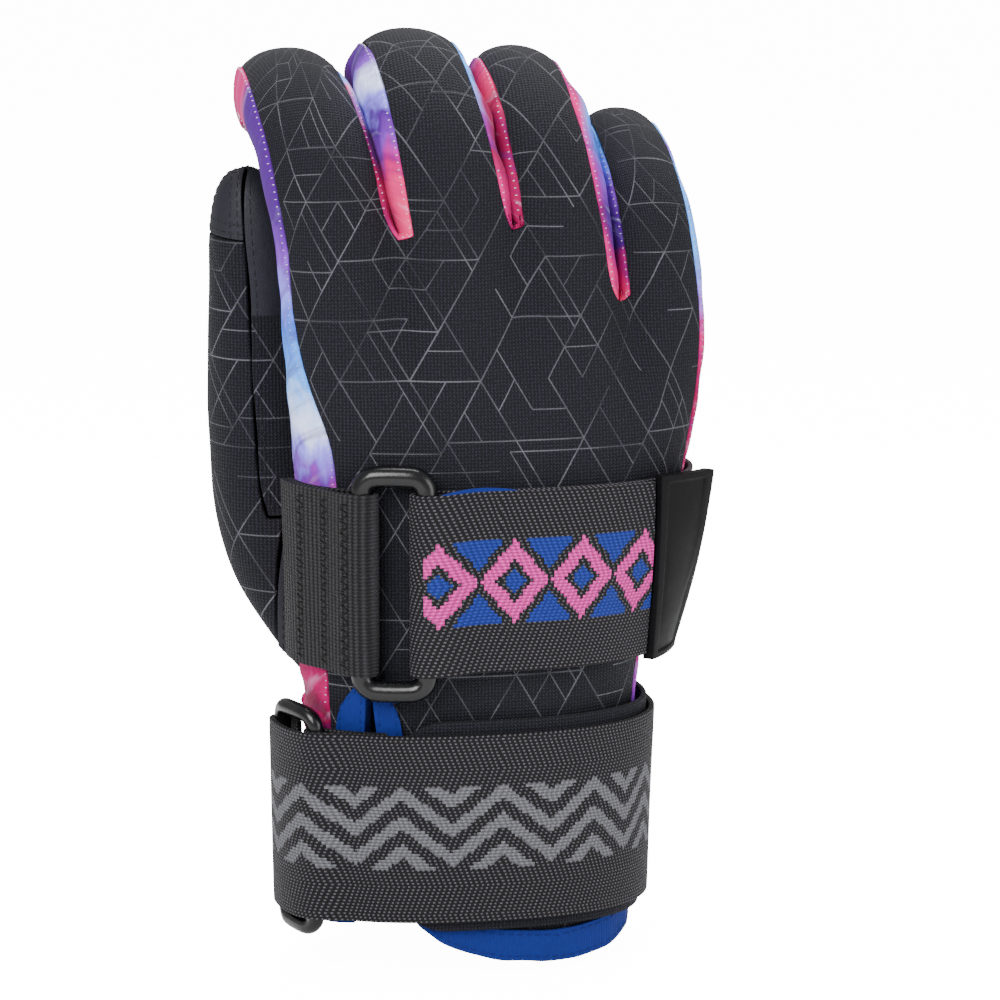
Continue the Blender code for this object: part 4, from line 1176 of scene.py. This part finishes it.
def make_shell(materials):
    """The neoprene, leather and strips of the hand, by the node that each stands for."""
    shell = {}
    for node, name, rounding, levels, finish, slot in (
        ("back_panel", "back_cloth", 0.8, 2, "printed knit", "knit_neoprene"),
        ("palm_panel", "palm_leather", 0.45, 2, "leather", "palm_leather"),
        ("thumb_back", "thumb_cloth", 0.8, 3, "printed knit", "knit_neoprene"),
        ("thumb_palm", "thumb_leather", 0.45, 2, "leather", "palm_leather"),
        ("thumb_tip", "thumb_cap", 0.45, 3, "leather", "palm_leather"),
    ):
        piece = soft_copy(node, name, rounding * MM, levels)
        crumple(piece, *SHELL_CRUMPLE)
        if node.startswith("thumb"):
            lay_flat_thumb(piece)
        else:
            lay_flat_shell(piece)
        dress(piece, materials[finish])
        shell[node] = piece
    print_thumb_front(shell["thumb_palm"], materials["printed knit"])
    back = surface_of(shell["back_panel"])
    for strip in DYES:
        node = strip + "_gusset"
        piece = soft_copy(node, strip + "_strip", 0.5 * MM, 3)
        crumple(piece, *STRIP_CRUMPLE)
        if strip in SLOTS:
            puff(piece, *SLOT_SWELL, held=back)
        else:
            puff(piece, *OUTER_SWELL)
        if strip == "radial":
            rumple(piece, *STRIP_FOLDS)
        lay_flat_strip(piece, strip)
        dress(piece, materials["dye " + strip])
        shell[node] = piece
    return shell


def make_straps(materials):
    """The straps with their rings and the tab; the woven ones, by the node each stands for."""
    made = {}
    hand, wrist = HAND_STRAP_CENTRE, WRIST_STRAP_CENTRE
    for node, name, rounding, centre, finish, slot in (
        ("hand_strap", "hand_webbing", 0.45, hand, "hand webbing", "woven_webbing"),
        ("hand_elastic", "elastic_loop", 0.4, hand, "elastic", "ribbed_elastic"),
        ("wrist_strap", "wrist_webbing", 0.45, wrist, "wrist webbing", "woven_webbing"),
        ("wrist_anchor", "anchor_loop", 0.2, wrist, "plain webbing", "woven_webbing"),
        ("wrist_pad", "wrist_underlay", 0.45, wrist, "plain knit", "knit_neoprene"),
    ):
        piece = soft_copy(node, name, rounding * MM, 2)
        if node == "wrist_pad":
            round_end(piece, centre, PAD_CORNER)
        lay_flat_strap(piece, centre)
        dress(piece, materials[finish])
        made[node] = piece
    for node, name in (("hand_ring", "hand_ring_bar"), ("wrist_ring", "wrist_ring_bar")):
        piece = soft_copy(node, name, 0, 2)
        puff(piece, *RING_SWELL)
        dress(piece, materials["plastic"])
    tab = soft_copy("pull_tab", "rubber_tab", 0.3 * MM, 2, sharp=30)
    dress(tab, materials["rubber"])
    return made


def make_lining_edge(materials, strap):
    """The blue edge of the hand strap's lining, which peeks out above the webbing."""
    surface = surface_of(strap)
    start, end = LINING_ACROSS
    heights = np.arange(HAND_STRAP_CENTRE + SEARCH_ABOVE, HAND_STRAP_CENTRE, -SEARCH_STEP)
    rows = []
    for x in np.linspace(start, end, LINING_ROWS):
        top = next((height for height in heights if front_spot(surface, x, height)[0]), None)
        if top is None:
            continue
        share = (x - start) / (end - start)
        shown = LINING_SHOWS * math.sin(math.pi * share) ** 0.5 - LINING_DIP
        depth = front_spot(surface, x, top - WEBBING_ROLL)[0].y + LINING_BEHIND
        rows.append([(x, depth, top - LINING_COVERED), (x, depth, top + shown)])
    points = [point for row in rows for point in row]
    faces = [(2 * n, 2 * n + 2, 2 * n + 3, 2 * n + 1) for n in range(len(rows) - 1)]
    piece = new_piece("lining_edge", points, faces)
    wall = piece.modifiers.new("wall", "SOLIDIFY")
    wall.thickness = LINING_WALL
    apply_modifiers(piece)
    piece.data.shade_smooth()
    dress(piece, materials["blue tape"])
    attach(piece, "root")


def make_binding(materials):
    tape = soft_copy("cuff_binding", "binding_tape", 0.25 * MM, 2)
    crumple(tape, *TAPE_CRUMPLE)
    dress(tape, materials["blue tape"])
    return tape


def make_stitches(materials, shell, straps, tape):
    """Sews along each sheet's edges, and zigzags over the elastic."""
    bones = bone_points()
    thread = thread_piece()
    white, dark = materials["white thread"], materials["dark thread"]
    for strip in DYES:
        node = strip + "_gusset"
        lines, surface = seam_lines(node, bones), surface_of(shell[node])
        spots = spots_along(lines, surface, *STRIP_SEAM, across=True, low=STRIP_SEAM_FROM)
        sew(strip + "_stitches", spots, STRIP_STITCH, white, thread)
    for node, name, seams in (
        ("thumb_tip", "cap_stitches", CAP_SEAMS),
        ("thumb_palm", "thumb_stitches", (LEATHER_SEAM,)),
        ("palm_panel", "palm_stitches", (LEATHER_SEAM,)),
    ):
        lines = seam_lines(node, bones)
        surface = surface_of(shell[node])
        spots = [spot for seam in seams for spot in spots_along(lines, surface, *seam)]
        sew(name, spots, LEATHER_STITCH, dark, thread)
    spots = spots_along(seam_lines("cuff_binding", bones), surface_of(tape), *BINDING_SEAM)
    blue, black = materials["blue thread"], materials["black thread"]
    sew("binding_stitches", spots, BINDING_STITCH, blue, thread)
    surface = surface_of(straps["hand_elastic"])
    spots = []
    for x in ELASTIC_SEAMS:
        spots += zigzag_spots(surface, x, ELASTIC_ENDS, ELASTIC_ZIGZAG)
    sew("elastic_stitches", spots, ELASTIC_STITCH, black, thread)


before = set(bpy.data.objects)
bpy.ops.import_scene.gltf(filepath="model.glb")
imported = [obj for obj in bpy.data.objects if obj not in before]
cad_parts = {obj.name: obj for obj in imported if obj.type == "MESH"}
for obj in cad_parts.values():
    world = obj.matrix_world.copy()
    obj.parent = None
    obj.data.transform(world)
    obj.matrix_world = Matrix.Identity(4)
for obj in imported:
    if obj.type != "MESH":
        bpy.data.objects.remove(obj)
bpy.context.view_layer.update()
deselect_all()
add_camera()
add_floor()
add_lights()
MATERIALS = make_materials()
SHELL = make_shell(MATERIALS)
STRAPS = make_straps(MATERIALS)
TAPE = make_binding(MATERIALS)
make_lining_edge(MATERIALS, STRAPS["hand_strap"])
make_stitches(MATERIALS, SHELL, STRAPS, TAPE)
